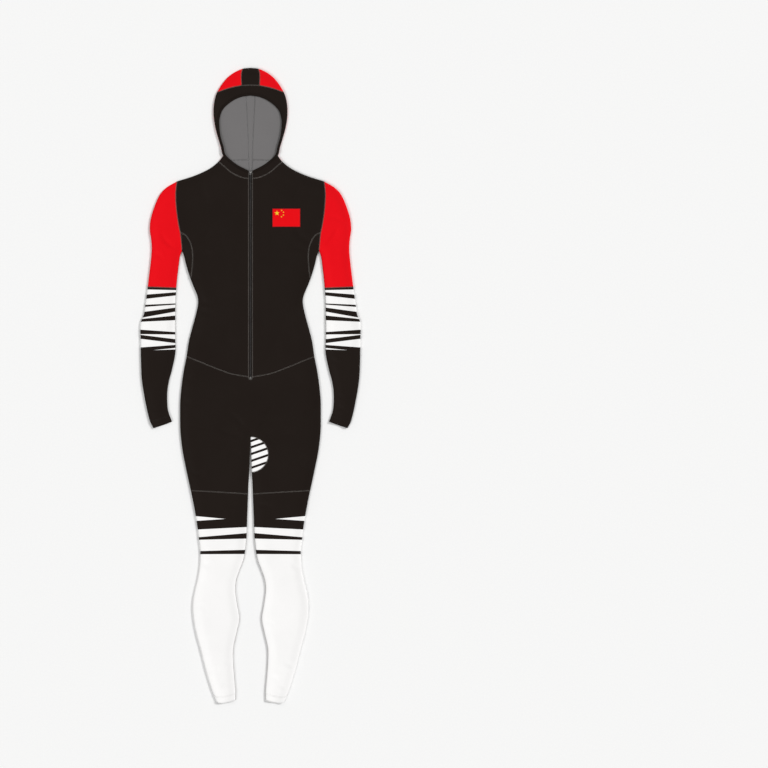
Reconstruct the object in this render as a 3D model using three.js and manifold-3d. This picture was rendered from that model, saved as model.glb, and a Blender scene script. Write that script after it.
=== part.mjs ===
// Speed skating suit, one piece with a hood, laid flat on its back.
// Millimetres. +X is the wearer's left, +Y runs from the hems to the crown, +Z is up from the floor.
// The origin is the middle of the suit's length and width, on the floor.
import * as THREE from 'three';
import Module from 'manifold-3d';

const wasm = await Module();
wasm.setup();

// Driving dimensions
const WALL = 1.2;
const SEAM_GAP = 0.3;
const FOLD_RADIUS = 3.2;
const FLAT_TOP = 3.0;
const FOLD_FADE = 12;
const ZIP_HALF = 4.25;
const ZIP_BOTTOM = 16;
const ZIP_TOP = 537;
const ZIP_LIFT = 0.9;
const HALF_STRIP_FRONT = 22.5;
const CROWN_STRIP_HALF = 19.5;
const PATCH_RADIUS = 44.5;
const PATCH_CENTRE_Y = -172;
const FLAG_WIDTH = 70;
const FLAG_HEIGHT = 46;
const FLAG_CENTRE = [89.5, 420];
const FLAG_THICKNESS = 1.0;

// Heights where a seam leaves the outline or another seam
const ARMPIT_Y = 338;
const FRONT_PANEL_TOP_Y = 383;
const BACK_PANEL_TOP_Y = 397;
const FRONT_PANEL_TIP_Y = 266;
const BACK_PANEL_TIP_Y = 222;
const WAIST_SIDE_Y = 73;
const WAIST_ZIP_Y = 22.2;
const KNEE_OUTER_Y = -262;
const KNEE_INNER_Y = -270.5;
const CROTCH_Y = -125.5;
const BAND_SIDE_Y = 734;
const BROW_Y = 751.5;
const OPENING_TOP_Y = 726;
const CROWN_Y = 794.5;
const NECK_SIDE_Y = 560;
const SLEEVE_JOIN_OUTER_Y = 247;
const SLEEVE_JOIN_INNER_Y = 244.5;
const STRIP_TIP_Y = 493;
const STRIP_TIP_HALF = 0.8;

// Curves of the wearer's left half. Columns: across from the centre line, up from mid length
const CURVES = {
  hoodSide: [[0, CROWN_Y], [CROWN_STRIP_HALF, 792.3], [42, 782.3], [61, 766.8], [83, BAND_SIDE_Y],
    [90.4, 709], [92.2, 680], [88.6, 650], [80.5, 619], [71.3, 590], [67, 577]],
  shoulder: [[67, 577], [71.5, 570], [79.5, NECK_SIDE_Y], [101, 543], [139, 525], [184, 510.5]],
  sleeveOuter: [[184, 510.5], [208, 497], [222, 484], [231, 469.5], [243, 439.5], [249.8, 414.5],
    [251.7, 389.5], [248.2, 364.5], [247, 339.5], [254.8, 264.5], [261.2, 214.5], [264, 195],
    [266.5, 178], [274.5, 158], [274.6, 114.5], [274, 64.5], [271.6, 14.5], [263.6, -35.5], [255, -75.5],
    [250.5, -91], [242.5, -106]],
  cuff: [[196.5, -90], [219, -98.5], [242.5, -106]],
  sleeveInner: [[171.3, ARMPIT_Y], [176.3, 323], [179.2, 303], [183.8, 264.5], [187.5, 214.5],
    [188.3, 164.5], [188.2, 114.5], [187.8, 84], [196.6, 39.5], [203.4, 14.5], [207.8, -12], [208.4, -38],
    [206, -63], [196.5, -90]],
  torsoSide: [[171.3, ARMPIT_Y], [165.8, 323], [161, 303], [149.5, FRONT_PANEL_TIP_Y],
    [132, BACK_PANEL_TIP_Y], [130.4, 212], [132.8, 192], [146.5, 139.5], [153.5, 112],
    [159.3, WAIST_SIDE_Y]],
  hip: [[159.3, WAIST_SIDE_Y], [166, 39.5], [170.6, 10], [175.1, -35.5], [175.6, -72], [174.8, -115],
    [169.8, -160.5], [160, -210.5], [149, KNEE_OUTER_Y]],
  legOuter: [[149, KNEE_OUTER_Y], [139.5, -310.5], [132.2, -355], [128.7, -386], [125.6, -412],
    [126, -437], [128.5, -462], [133.2, -487], [139, -511], [144.2, -542], [143.2, -577], [136, -618],
    [124.5, -660.5], [112, -710.5], [96.5, -760.5], [86, -787]],
  hem: [[38, -786], [50, -790], [62, -792.6], [74, -794.2], [81, -792.4], [86, -787]],
  innerThigh: [[0, CROTCH_Y], [0.6, -145], [1.9, -180], [3, -212], [5.4, -245], [6.2, KNEE_INNER_Y]],
  legInner: [[6.2, KNEE_INNER_Y], [8.3, -325], [10.6, -384], [17.6, -434], [27.5, -461], [35.8, -486],
    [38, -510], [33.6, -545], [28, -583], [33.4, -612], [43.3, -658], [43, -695], [39.8, -737],
    [37.6, -764], [38, -786]],
  armhole: [[184, 510.5], [187, 481], [185, 441], [178.6, BACK_PANEL_TOP_Y], [175.5, FRONT_PANEL_TOP_Y],
    [172.3, 352], [171.3, ARMPIT_Y]],
  frontPanelSeam: [[175.5, FRONT_PANEL_TOP_Y], [163, 377], [152, 361], [146, 342], [144.5, 318],
    [146, 295], [149.5, FRONT_PANEL_TIP_Y]],
  backPanelSeam: [[178.6, BACK_PANEL_TOP_Y], [160, 391.5], [143, 377], [129.5, 359.5], [123, 338],
    [122, 309], [125, 277], [128, 246], [132, BACK_PANEL_TIP_Y]],
  waistSeam: [[0, 22], [26, 25.5], [51.5, 31], [101.5, 49.5], [125.5, 59.5], [159.3, WAIST_SIDE_Y]],
  kneeSeam: [[6.2, KNEE_INNER_Y], [77, -266], [149, KNEE_OUTER_Y]],
  frontNeckSeam: [[ZIP_HALF, 518], [20, 520.5], [33.5, 525.5], [49, 534], [66.5, 549],
    [79.5, NECK_SIDE_Y]],
  backNeckSeam: [[0, 565], [45, 563.5], [79.5, NECK_SIDE_Y]],
  sleeveJoin: [[185.7, SLEEVE_JOIN_INNER_Y], [257, SLEEVE_JOIN_OUTER_Y]],
  faceOpening: [[ZIP_HALF, ZIP_TOP], [10.5, 540], [29.5, 549.5], [47, 562], [63, 578], [68, 598],
    [75.5, 625], [78.5, 655], [77.5, 669], [70, 690], [47, 711], [24, 722], [0, OPENING_TOP_Y]],
  browEdge: [[0, BROW_Y], [HALF_STRIP_FRONT, 750.5], [54, 744], [83, BAND_SIDE_Y]],
  frontStripEdge: [[HALF_STRIP_FRONT, 750.5], [HALF_STRIP_FRONT, 783], [CROWN_STRIP_HALF, 792.3]],
  backStripEdge: [[CROWN_STRIP_HALF, 792.3], [15, 782], [10.5, 714], [5.5, 614], [4.3, 564.8]],
};

// Plan curves

// A smooth line through the points of a table, by centripetal spans
function smooth(points) {
  if (points.length < 3) return points;
  const curve = new THREE.CatmullRomCurve3(
    points.map(([x, y]) => new THREE.Vector3(x, y, 0)), false, 'centripetal');
  const stepsPerSpan = 10;
  return curve.getPoints(stepsPerSpan * (points.length - 1)).map((p) => [p.x, p.y]);
}

const lines = {};
for (const name in CURVES) lines[name] = smooth(CURVES[name]);

const apart = (a, b) => Math.hypot(a[0] - b[0], a[1] - b[1]);
const between = (a, b, t) => [a[0] + (b[0] - a[0]) * t, a[1] + (b[1] - a[1]) * t];

function lengthOf(line) {
  return line.slice(1).reduce((sum, point, k) => sum + apart(line[k], point), 0);
}

function pointAlong(line, distance) {
  let left = distance;
  for (let k = 1; k < line.length; k++) {
    const step = apart(line[k - 1], line[k]);
    if (left <= step || k === line.length - 1) return between(line[k - 1], line[k], left / step);
    left -= step;
  }
  return line[0];
}

// The stretch of a line between two heights, in the order that they are given
function stretch(line, fromY, toY) {
  const distanceAt = (y) => {
    let sum = 0;
    for (let k = 1; k < line.length; k++) {
      const [low, high] = [line[k - 1][1], line[k][1]];
      const t = (y - low) / (high - low);
      if (t >= 0 && t <= 1) return sum + t * apart(line[k - 1], line[k]);
      sum += apart(line[k - 1], line[k]);
    }
    return Math.abs(y - line[0][1]) < Math.abs(y - line.at(-1)[1]) ? 0 : sum;
  };
  const start = distanceAt(fromY);
  const end = distanceAt(toY);
  const pieces = 60;
  return Array.from({ length: pieces + 1 }, (_, k) => pointAlong(line, start + (end - start) * k / pieces));
}

// Close steps beside a fold: across the roll, then over the fade to the flat cloth
const FOLD_STEPS = [FOLD_RADIUS * (1 - Math.SQRT1_2), FOLD_RADIUS, 13];

const SHORTEST_WITH_STEPS = 40;
const TIP_LENGTH = 6;

// count + 1 points on a line, with the close steps at the ends that ask for them
function spaced(line, count, { atStart = false, atEnd = false } = {}) {
  const length = lengthOf(line);
  const steps = FOLD_STEPS.map((step) => step * Math.min(1, length / SHORTEST_WITH_STEPS));
  const starts = atStart ? steps : [];
  const ends = atEnd ? steps.map((step) => length - step).reverse() : [];
  const first = starts.length ? starts.at(-1) : 0;
  const last = ends.length ? ends[0] : length;
  const middle = count - starts.length - ends.length;
  const places = [];
  for (let k = 1; k < middle; k++) places.push(first + (last - first) * k / middle);
  return [0, ...starts, ...places, ...ends, length].map((place) => pointAlong(line, place));
}

// count + 1 points on a line that ends in a tip, with a short last step that a blunt tip leaves open
function toTip(line, count) {
  const length = lengthOf(line);
  const places = Array.from({ length: count }, (_, k) => (length - TIP_LENGTH) * k / (count - 1));
  return [...places, length].map((place) => pointAlong(line, place));
}

const joined = (...lists) => lists.reduce((all, list) => [...all, ...list.slice(1)]);
const reversed = (points) => [...points].reverse();

// The outline of the laid suit, counter-clockwise, where the cloth folds or is seamed at its side
const foldLines = [
  lines.innerThigh, lines.legInner, reversed(lines.legOuter), reversed(lines.hip),
  reversed(lines.torsoSide), lines.sleeveInner, reversed(lines.sleeveOuter),
  reversed(lines.shoulder), reversed(lines.hoodSide),
];

const outlineEdges = [];
for (const line of foldLines) {
  for (let k = 1; k < line.length; k++) {
    const [a, b] = [line[k - 1], line[k]];
    const size = apart(a, b);
    const inward = [-(b[1] - a[1]) / size, (b[0] - a[0]) / size];
    outlineEdges.push({ a, b, inward });
    outlineEdges.push({ a: [-b[0], b[1]], b: [-a[0], a[1]], inward: [-inward[0], inward[1]] });
  }
}

// Distance from a plan point to the outline, and the way in from there
function fromOutline([x, y]) {
  let best = Infinity;
  let way = [0, 0];
  for (const { a, b, inward } of outlineEdges) {
    const dx = b[0] - a[0];
    const dy = b[1] - a[1];
    const t = Math.min(1, Math.max(0, ((x - a[0]) * dx + (y - a[1]) * dy) / (dx * dx + dy * dy)));
    const off = [x - a[0] - t * dx, y - a[1] - t * dy];
    const distance = Math.hypot(off[0], off[1]);
    if (distance < best - 1e-4) {
      best = distance;
      way = distance > 0.02 ? [off[0] / distance, off[1] / distance] : inward;
    } else if (distance < 0.02 && distance < best + 1e-4) {
      way = [way[0] + inward[0], way[1] + inward[1]];
    }
  }
  if (Math.abs(x) < 1e-6) way = [0, Math.sign(way[1])];
  const size = Math.hypot(way[0], way[1]) || 1;
  return { distance: best, way: [way[0] / size, way[1] / size] };
}

// Points that neighbours share along their seams

const shoulderTop = CURVES.armhole[0][1];
const armholeLow = spaced(stretch(lines.armhole, ARMPIT_Y, FRONT_PANEL_TOP_Y), 5, { atStart: true });
const armholeMiddle = spaced(stretch(lines.armhole, FRONT_PANEL_TOP_Y, BACK_PANEL_TOP_Y), 1);
const armholeHigh = spaced(stretch(lines.armhole, BACK_PANEL_TOP_Y, shoulderTop), 6, { atEnd: true });
const armholeFromFront = joined(armholeMiddle, armholeHigh);
const armholeToFront = armholeLow;
const armholeToBack = joined(armholeLow, armholeMiddle);
const frontPanelPoints = toTip(lines.frontPanelSeam, 8);
const backPanelPoints = toTip(lines.backPanelSeam, 9);
const frontNeckPoints = spaced(lines.frontNeckSeam, 5);
const stripNeckPoint = CURVES.backStripEdge.at(-1);
const beyond = (line, x) => line.filter((point) => point[0] > x);
const backNeckPoints = spaced(
  [stripNeckPoint, ...beyond(lines.backNeckSeam, stripNeckPoint[0] + 1)], 6, { atEnd: true });
const waistFromZip = spaced(
  [[ZIP_HALF, WAIST_ZIP_Y], ...beyond(lines.waistSeam, ZIP_HALF + 1)], 10, { atEnd: true });
const waistPoints = [lines.waistSeam[0], [FOLD_STEPS[0], CURVES.waistSeam[0][1]], ...waistFromZip];
const browStripPoints = spaced([[0, BROW_Y], CURVES.frontStripEdge[0]], 2);
const browSidePoints = toTip(beyond(lines.browEdge, HALF_STRIP_FRONT - 0.01), 7);
const frontStripPoints = spaced(lines.frontStripEdge, 5, { atEnd: true });
const backStripPoints = spaced(lines.backStripEdge, 10, { atStart: true });

// The layers' heights

const ease = (t) => {
  const s = Math.min(1, Math.max(0, t));
  return s * s * (3 - 2 * s);
};

// The front lies a little higher where the zip's tapes are under it
const LIFT_HALF = 16;
const LIFT_SIDE_FADE = 30;
const LIFT_END_FADE = 25;
const LIFT_PAST_END = 5;

function zipLift(x, y) {
  const beside = 1 - ease((Math.abs(x) - LIFT_HALF) / LIFT_SIDE_FADE);
  const above = ease((y - ZIP_TOP - LIFT_PAST_END) / LIFT_END_FADE);
  const below = ease((ZIP_BOTTOM - LIFT_PAST_END - y) / LIFT_END_FADE);
  return ZIP_LIFT * beside * (1 - above) * (1 - below);
}

function frontTop(x, y, distance) {
  const flat = FLAT_TOP + zipLift(x, y);
  const past = Math.max(0, distance - FOLD_RADIUS) / FOLD_FADE;
  return flat + (2 * FOLD_RADIUS - flat) * Math.exp(-past * past);
}

// Outer and inner point of the cloth over a plan point. side is 1 on the front and -1 on the back
function clothPoint(plan, side, wraps) {
  const [x, y] = plan;
  const { distance, way } = fromOutline(plan);
  let outer;
  let inner;
  if (distance < FOLD_RADIUS) {
    const turn = Math.acos(1 - distance / FOLD_RADIUS);
    let z = FOLD_RADIUS + side * FOLD_RADIUS * Math.sin(turn);
    if (!wraps) z = side * Math.max(side * z, side * FOLD_RADIUS + SEAM_GAP / 2);
    outer = [x, y, z];
    const inward = WALL * Math.cos(turn);
    inner = [x + inward * way[0], y + inward * way[1], z - side * WALL * Math.sin(turn)];
  } else {
    const z = side > 0 ? frontTop(x, y, distance) : 0;
    outer = [x, y, z];
    inner = [x, y, z - side * WALL];
  }
  return { outer, inner };
}

// Panels as grids

// A grid of plan points between four lines: rows run from bottom to top, columns from left to right
function gridBetween(bottom, top, left, right) {
  const share = (line) => {
    const total = lengthOf(line);
    let sum = 0;
    return line.map((point, k) => (k ? (sum += apart(line[k - 1], point)) / total : 0));
  };
  const [shareBottom, shareTop, shareLeft, shareRight] = [bottom, top, left, right].map(share);
  return left.map((_, i) => bottom.map((__, j) => {
    if (i === 0) return bottom[j];
    if (i === left.length - 1) return top[j];
    if (j === 0) return left[i];
    if (j === bottom.length - 1) return right[i];
    const v0 = (shareLeft[i] + shareRight[i]) / 2;
    const u = shareBottom[j] * (1 - v0) + shareTop[j] * v0;
    const v = shareLeft[i] * (1 - u) + shareRight[i] * u;
    return [0, 1].map((c) => (1 - v) * bottom[j][c] + v * top[j][c]
      + (1 - u) * left[i][c] + u * right[i][c]
      - (1 - u) * (1 - v) * bottom[0][c] - u * (1 - v) * bottom.at(-1)[c]
      - (1 - u) * v * top[0][c] - u * v * top.at(-1)[c]);
  }));
}

// Kinds of border edge: seam is sewn to a neighbour in the same layer, side is sewn at the outline,
// edge is free, wrap carries on round the outline and join carries on into the mirrored half
const many = (kind, count) => Array(count).fill(kind);

function borderOf(grid, kinds) {
  const rows = grid.length - 1;
  const columns = grid[0].length - 1;
  const border = [];
  for (let j = 0; j < columns; j++) border.push({ i: 0, j, kind: kinds.bottom[j] });
  for (let i = 0; i < rows; i++) border.push({ i, j: columns, kind: kinds.right[i] });
  for (let j = columns; j > 0; j--) border.push({ i: rows, j, kind: kinds.top[j - 1] });
  for (let i = rows; i > 0; i--) border.push({ i, j: 0, kind: kinds.left[i - 1] });
  return border;
}

// Moves the seamed borders in by half the seam gap
function opened(grid, border) {
  const result = grid.map((row) => row.map((point) => [...point]));
  const at = ({ i, j }) => grid[i][j];
  border.forEach((corner, k) => {
    const before = border[(k + border.length - 1) % border.length];
    const after = border[(k + 1) % border.length];
    const ways = [[at(before), at(corner)], [at(corner), at(after)]].map(([a, b]) => {
      const size = apart(a, b);
      return [(b[0] - a[0]) / size, (b[1] - a[1]) / size];
    });
    const normals = ways.map(([x, y]) => [-y, x]);
    const seams = [before.kind === 'seam', corner.kind === 'seam'];
    if (!seams[0] && !seams[1]) return;
    let move;
    if (seams[0] && seams[1]) {
      const dot = normals[0][0] * normals[1][0] + normals[0][1] * normals[1][1];
      const size = SEAM_GAP / 2 / Math.max(0.3, 1 + dot);
      move = [size * (normals[0][0] + normals[1][0]), size * (normals[0][1] + normals[1][1])];
    } else {
      const normal = normals[seams[0] ? 0 : 1];
      const slide = seams[0] ? ways[1] : [-ways[0][0], -ways[0][1]];
      const size = SEAM_GAP / 2 / Math.max(0.15, slide[0] * normal[0] + slide[1] * normal[1]);
      move = [size * slide[0], size * slide[1]];
    }
    result[corner.i][corner.j] = [at(corner)[0] + move[0], at(corner)[1] + move[1]];
  });
  return result;
}

// One layer of a panel: outer and inner points on a grid, and its border. Layers of one piece share
// the points where the cloth wraps round the outline
function layer(grid, kinds, side, shared = new Map()) {
  const border = borderOf(grid, kinds);
  const wrapping = new Set();
  border.forEach((corner, k) => {
    if (corner.kind !== 'wrap') return;
    const after = border[(k + 1) % border.length];
    wrapping.add(`${corner.i},${corner.j}`).add(`${after.i},${after.j}`);
  });
  const points = opened(grid, border).map((row, i) => row.map((plan, j) => {
    if (!wrapping.has(`${i},${j}`)) return clothPoint(plan, side, false);
    const place = grid[i][j].map((value) => value.toFixed(2)).join(',');
    if (!shared.has(place)) shared.set(place, clothPoint(plan, side, true));
    return shared.get(place);
  }));
  return { points, border, side };
}

// A closed wall from layers that share their wrapping and joining borders
function wallOf(layers) {
  const positions = [];
  const indices = [];
  const known = new Map();
  const vertex = (point) => {
    const key = point.map((value) => Math.round(value * 1e3)).join(',');
    if (!known.has(key)) {
      known.set(key, positions.length / 3);
      positions.push(...point);
    }
    return known.get(key);
  };
  const quad = (a, b, c, d) => {
    const corners = [a, b, c, d].map(vertex);
    for (const [p, q, r] of [[0, 1, 2], [0, 2, 3]]) {
      const [u, v, w] = [corners[p], corners[q], corners[r]];
      if (u !== v && v !== w && w !== u) indices.push(u, v, w);
    }
  };
  for (const { points, border, side } of layers) {
    const facing = (a, b, c, d) => (side > 0 ? quad(a, b, c, d) : quad(d, c, b, a));
    for (let i = 1; i < points.length; i++) {
      for (let j = 1; j < points[0].length; j++) {
        const around = [points[i - 1][j - 1], points[i - 1][j], points[i][j], points[i][j - 1]];
        facing(...around.map((p) => p.outer));
        facing(...around.reverse().map((p) => p.inner));
      }
    }
    border.forEach((corner, k) => {
      if (corner.kind === 'wrap' || corner.kind === 'join') return;
      const after = border[(k + 1) % border.length];
      const a = points[corner.i][corner.j];
      const b = points[after.i][after.j];
      facing(b.outer, a.outer, a.inner, b.inner);
    });
  }
  return meshData(positions, indices);
}

function meshData(positions, indices) {
  const geometry = new THREE.BufferGeometry();
  geometry.setAttribute('position', new THREE.Float32BufferAttribute(positions, 3));
  geometry.setIndex(indices);
  return geometry;
}

function mirror(geometry) {
  const positions = Array.from(geometry.attributes.position.array, (value, k) => (k % 3 ? value : -value));
  const indices = [];
  const source = geometry.index.array;
  for (let k = 0; k < source.length; k += 3) indices.push(source[k], source[k + 2], source[k + 1]);
  return meshData(positions, indices);
}

// Joining and cutting

function solid(geometry) {
  const known = new Map();
  const vertProperties = [];
  const { position } = geometry.attributes;
  const welded = Array.from({ length: position.count }, (_, k) => {
    const point = [position.getX(k), position.getY(k), position.getZ(k)];
    const key = point.map((value) => Math.round(value * 1e3)).join(',');
    if (!known.has(key)) {
      known.set(key, vertProperties.length / 3);
      vertProperties.push(...point);
    }
    return known.get(key);
  });
  const index = geometry.index ? Array.from(geometry.index.array) : welded.map((_, k) => k);
  return new wasm.Manifold(new wasm.Mesh({
    numProp: 3,
    vertProperties: new Float32Array(vertProperties),
    triVerts: new Uint32Array(index.map((k) => welded[k])),
  }));
}

function geometryOf(body) {
  const mesh = body.getMesh();
  return meshData(Array.from(mesh.vertProperties), Array.from(mesh.triVerts));
}

const CUT_LOW = -5;
const CUT_HEIGHT = 20;

// An upright prism over a closed plan outline, tall enough to cut the whole suit
function cutter(outline) {
  const shape = new THREE.Shape(outline.map(([x, y]) => new THREE.Vector2(x, y)));
  const prism = new THREE.ExtrudeGeometry(shape, { depth: CUT_HEIGHT, bevelEnabled: false });
  prism.translate(0, 0, CUT_LOW);
  return solid(prism);
}

function block(lowX, highX, lowY, highY, lowZ, highZ) {
  const box = new THREE.BoxGeometry(highX - lowX, highY - lowY, highZ - lowZ);
  box.translate((lowX + highX) / 2, (lowY + highY) / 2, (lowZ + highZ) / 2);
  return box;
}

// Body panels

const SHOULDER_COLUMNS = 5;

function shoulderPoints() {
  return spaced(reversed(stretch(lines.shoulder, shoulderTop, NECK_SIDE_Y)), SHOULDER_COLUMNS);
}

function frontPanel() {
  const sideRows = 7;
  const side = spaced(stretch(lines.torsoSide, WAIST_SIDE_Y, FRONT_PANEL_TIP_Y), sideRows);
  const right = joined(side, reversed(frontPanelPoints), armholeFromFront);
  const top = joined(frontNeckPoints, shoulderPoints());
  const rows = right.length - 1;
  const columns = top.length - 1;
  const left = spaced([waistFromZip[0], frontNeckPoints[0]], rows, { atEnd: true });
  const kinds = {
    bottom: many('seam', columns),
    top: [...many('seam', columns - SHOULDER_COLUMNS), ...many('side', SHOULDER_COLUMNS)],
    left: many('seam', rows),
    right: [...many('side', sideRows), ...many('seam', rows - sideRows)],
  };
  return wallOf([layer(gridBetween(waistFromZip, top, left, right), kinds, 1)]);
}

// The back is one panel with the end of the hood's strip let into its top
function backPanel() {
  const sideRows = 6;
  const side = spaced(stretch(lines.torsoSide, WAIST_SIDE_Y, BACK_PANEL_TIP_Y), sideRows);
  const right = joined(side, reversed(backPanelPoints), armholeHigh);
  const top = joined([[0, stripNeckPoint[1]], stripNeckPoint], backNeckPoints, shoulderPoints());
  const rows = right.length - 1;
  const columns = top.length - 1;
  const left = spaced([waistPoints[0], top[0]], rows, { atEnd: true });
  const kinds = {
    bottom: many('seam', columns),
    top: [...many('seam', columns - SHOULDER_COLUMNS), ...many('side', SHOULDER_COLUMNS)],
    left: many('join', rows),
    right: [...many('side', sideRows), ...many('seam', rows - sideRows)],
  };
  const half = layer(gridBetween(waistPoints, top, left, right), kinds, -1);
  const whole = solid(bothHalves([half]));
  const above = stripNeckPoint[1] + 5;
  const [tipHalf, neckHalf] = [STRIP_TIP_HALF + SEAM_GAP, stripNeckPoint[0] + SEAM_GAP];
  const notch = [[-neckHalf, above], [-neckHalf, stripNeckPoint[1]], [-tipHalf, STRIP_TIP_Y - SEAM_GAP],
    [tipHalf, STRIP_TIP_Y - SEAM_GAP], [neckHalf, stripNeckPoint[1]], [neckHalf, above]];
  return geometryOf(whole.subtract(cutter(notch)));
}

// A layer joined to its mirror image at the centre line
function bothHalves(layers) {
  const flip = ({ points, border, side }) => {
    const last = points[0].length - 1;
    const over = ([x, y, z]) => [-x, y, z];
    const overBoth = ({ outer, inner }) => ({ outer: over(outer), inner: over(inner) });
    return {
      points: points.map((row) => reversed(row).map(overBoth)),
      border: flippedBorder(border, last),
      side,
    };
  };
  return wallOf([...layers, ...layers.map(flip)]);
}

// The border of a mirrored grid, again counter-clockwise
function flippedBorder(border, last) {
  const count = border.length;
  return border.map((_, k) => {
    const start = border[(count - k) % count];
    const edge = border[(2 * count - k - 1) % count];
    return { i: start.i, j: last - start.j, kind: edge.kind };
  });
}

// The underarm panel goes round the torso's side, from the front seam to the back seam
function sidePanel() {
  const frontSeam = frontPanelPoints.slice(0, -1);
  const backSeam = backPanelPoints.slice(0, -1);
  const frontRows = frontSeam.length - 1;
  const backRows = backSeam.length - 1;
  const frontEndY = frontSeam.at(-1)[1];
  const foldFront = spaced(stretch(lines.torsoSide, ARMPIT_Y, frontEndY), frontRows);
  const foldRest = spaced(stretch(lines.torsoSide, frontEndY, backSeam.at(-1)[1]), backRows - frontRows);
  const foldAll = joined(foldFront, foldRest);
  const frontTop = reversed(armholeToFront);
  const backTop = reversed(armholeToBack);
  const frontGrid = gridBetween(
    spaced([frontSeam.at(-1), foldFront.at(-1)], frontTop.length - 1), frontTop,
    reversed(frontSeam), reversed(foldFront));
  const backGrid = gridBetween(
    spaced([backSeam.at(-1), foldAll.at(-1)], backTop.length - 1), backTop,
    reversed(backSeam), reversed(foldAll));
  const shared = new Map();
  const front = layer(frontGrid, {
    bottom: many('seam', frontTop.length - 1), top: many('seam', frontTop.length - 1),
    left: many('seam', frontRows), right: many('wrap', frontRows),
  }, 1, shared);
  const back = layer(backGrid, {
    bottom: many('seam', backTop.length - 1), top: many('seam', backTop.length - 1),
    left: many('seam', backRows), right: [...many('side', backRows - frontRows), ...many('wrap', frontRows)],
  }, -1, shared);
  return wallOf([front, back]);
}

// Tubes: sleeves and legs

// A flat tube between a bottom and a top row of points, with its folds on the two side lines
function tube(bottom, top, leftLine, rightLine, rows, bottomKind) {
  const columns = top.length - 1;
  const grid = gridBetween(bottom, top, spaced(leftLine, rows), spaced(rightLine, rows));
  const kinds = {
    bottom: many(bottomKind, columns), top: many('seam', columns),
    left: many('wrap', rows), right: many('wrap', rows),
  };
  const shared = new Map();
  return wallOf([layer(grid, kinds, 1, shared), layer(grid, kinds, -1, shared)]);
}

const acrossTube = (line, columns) => spaced(line, columns, { atStart: true, atEnd: true });

function upperSleeve() {
  const top = joined(armholeToBack, armholeHigh);
  return tube(acrossTube(lines.sleeveJoin, top.length - 1), top,
    reversed(stretch(lines.sleeveInner, ARMPIT_Y, SLEEVE_JOIN_INNER_Y)),
    reversed(stretch(lines.sleeveOuter, shoulderTop, SLEEVE_JOIN_OUTER_Y)), 7, 'seam');
}

function lowerSleeve() {
  const [[, cuffInnerY]] = CURVES.cuff;
  const [, cuffOuterY] = CURVES.cuff.at(-1);
  const columns = 8;
  return tube(acrossTube(lines.cuff, columns), acrossTube(lines.sleeveJoin, columns),
    reversed(stretch(lines.sleeveInner, SLEEVE_JOIN_INNER_Y, cuffInnerY)),
    reversed(stretch(lines.sleeveOuter, SLEEVE_JOIN_OUTER_Y, cuffOuterY)), 14, 'edge');
}

function lowerLeg() {
  const columns = 8;
  return tube(acrossTube(lines.hem, columns), acrossTube(lines.kneeSeam, columns),
    reversed(lines.legInner), reversed(lines.legOuter), 18, 'edge');
}

// Shorts

function shortsLayer(side) {
  const bodyRows = 6;
  const thighRows = 9;
  const rows = bodyRows + thighRows;
  const columns = waistPoints.length - 1;
  const centre = [lines.waistSeam[0], [0, CROTCH_Y]];
  const left = reversed(joined(
    spaced(centre, bodyRows, { atEnd: true }), spaced(lines.innerThigh, thighRows)));
  const right = reversed(spaced(lines.hip, rows));
  const bottom = acrossTube(lines.kneeSeam, columns);
  return layer(gridBetween(bottom, waistPoints, left, right), {
    bottom: many('seam', columns), top: many('seam', columns),
    left: [...many('side', thighRows), ...many('join', bodyRows)], right: many('side', rows),
  }, side);
}

// Points along an arc in plan, between two angles in degrees
function arc(centreX, centreY, radius, from, to, sides) {
  return Array.from({ length: sides + 1 }, (_, k) => {
    const angle = THREE.MathUtils.degToRad(from + (to - from) * k / sides);
    return [centreX + radius * Math.cos(angle), centreY + radius * Math.sin(angle)];
  });
}

function shorts(side) {
  let body = solid(bothHalves([shortsLayer(side)]));
  if (side > 0) {
    const notchHalf = ZIP_HALF + SEAM_GAP / 2;
    const end = arc(0, ZIP_BOTTOM + notchHalf, notchHalf, 180, 360, 10);
    body = body.subtract(cutter([...end, [notchHalf, 40], [-notchHalf, 40]]));
  }
  return geometryOf(body.subtract(cutter(arc(0, PATCH_CENTRE_Y, PATCH_RADIUS + SEAM_GAP, -90, 90, 24))));
}

// The round patch is let into the wearer's left thigh and folds over the inseam
function thighPatch() {
  const rows = 9;
  const columns = 5;
  const tipLength = 1.5;
  const low = PATCH_CENTRE_Y - PATCH_RADIUS + tipLength;
  const high = PATCH_CENTRE_Y + PATCH_RADIUS - tipLength;
  const fold = spaced(reversed(stretch(lines.innerThigh, high, low)), rows);
  const rim = fold.map(([x, y]) => {
    const chord = Math.sqrt(PATCH_RADIUS ** 2 - (y - PATCH_CENTRE_Y) ** 2);
    return [Math.max(x + 1, chord), y];
  });
  const bottom = spaced([fold[0], rim[0]], columns, { atStart: true });
  const top = spaced([fold.at(-1), rim.at(-1)], columns, { atStart: true });
  const grid = gridBetween(bottom, top, fold, rim);
  const kinds = {
    bottom: many('edge', columns), top: many('edge', columns),
    left: many('wrap', rows), right: many('edge', rows),
  };
  const shared = new Map();
  return wallOf([layer(grid, kinds, 1, shared), layer(grid, kinds, -1, shared)]);
}

// Hood

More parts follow.
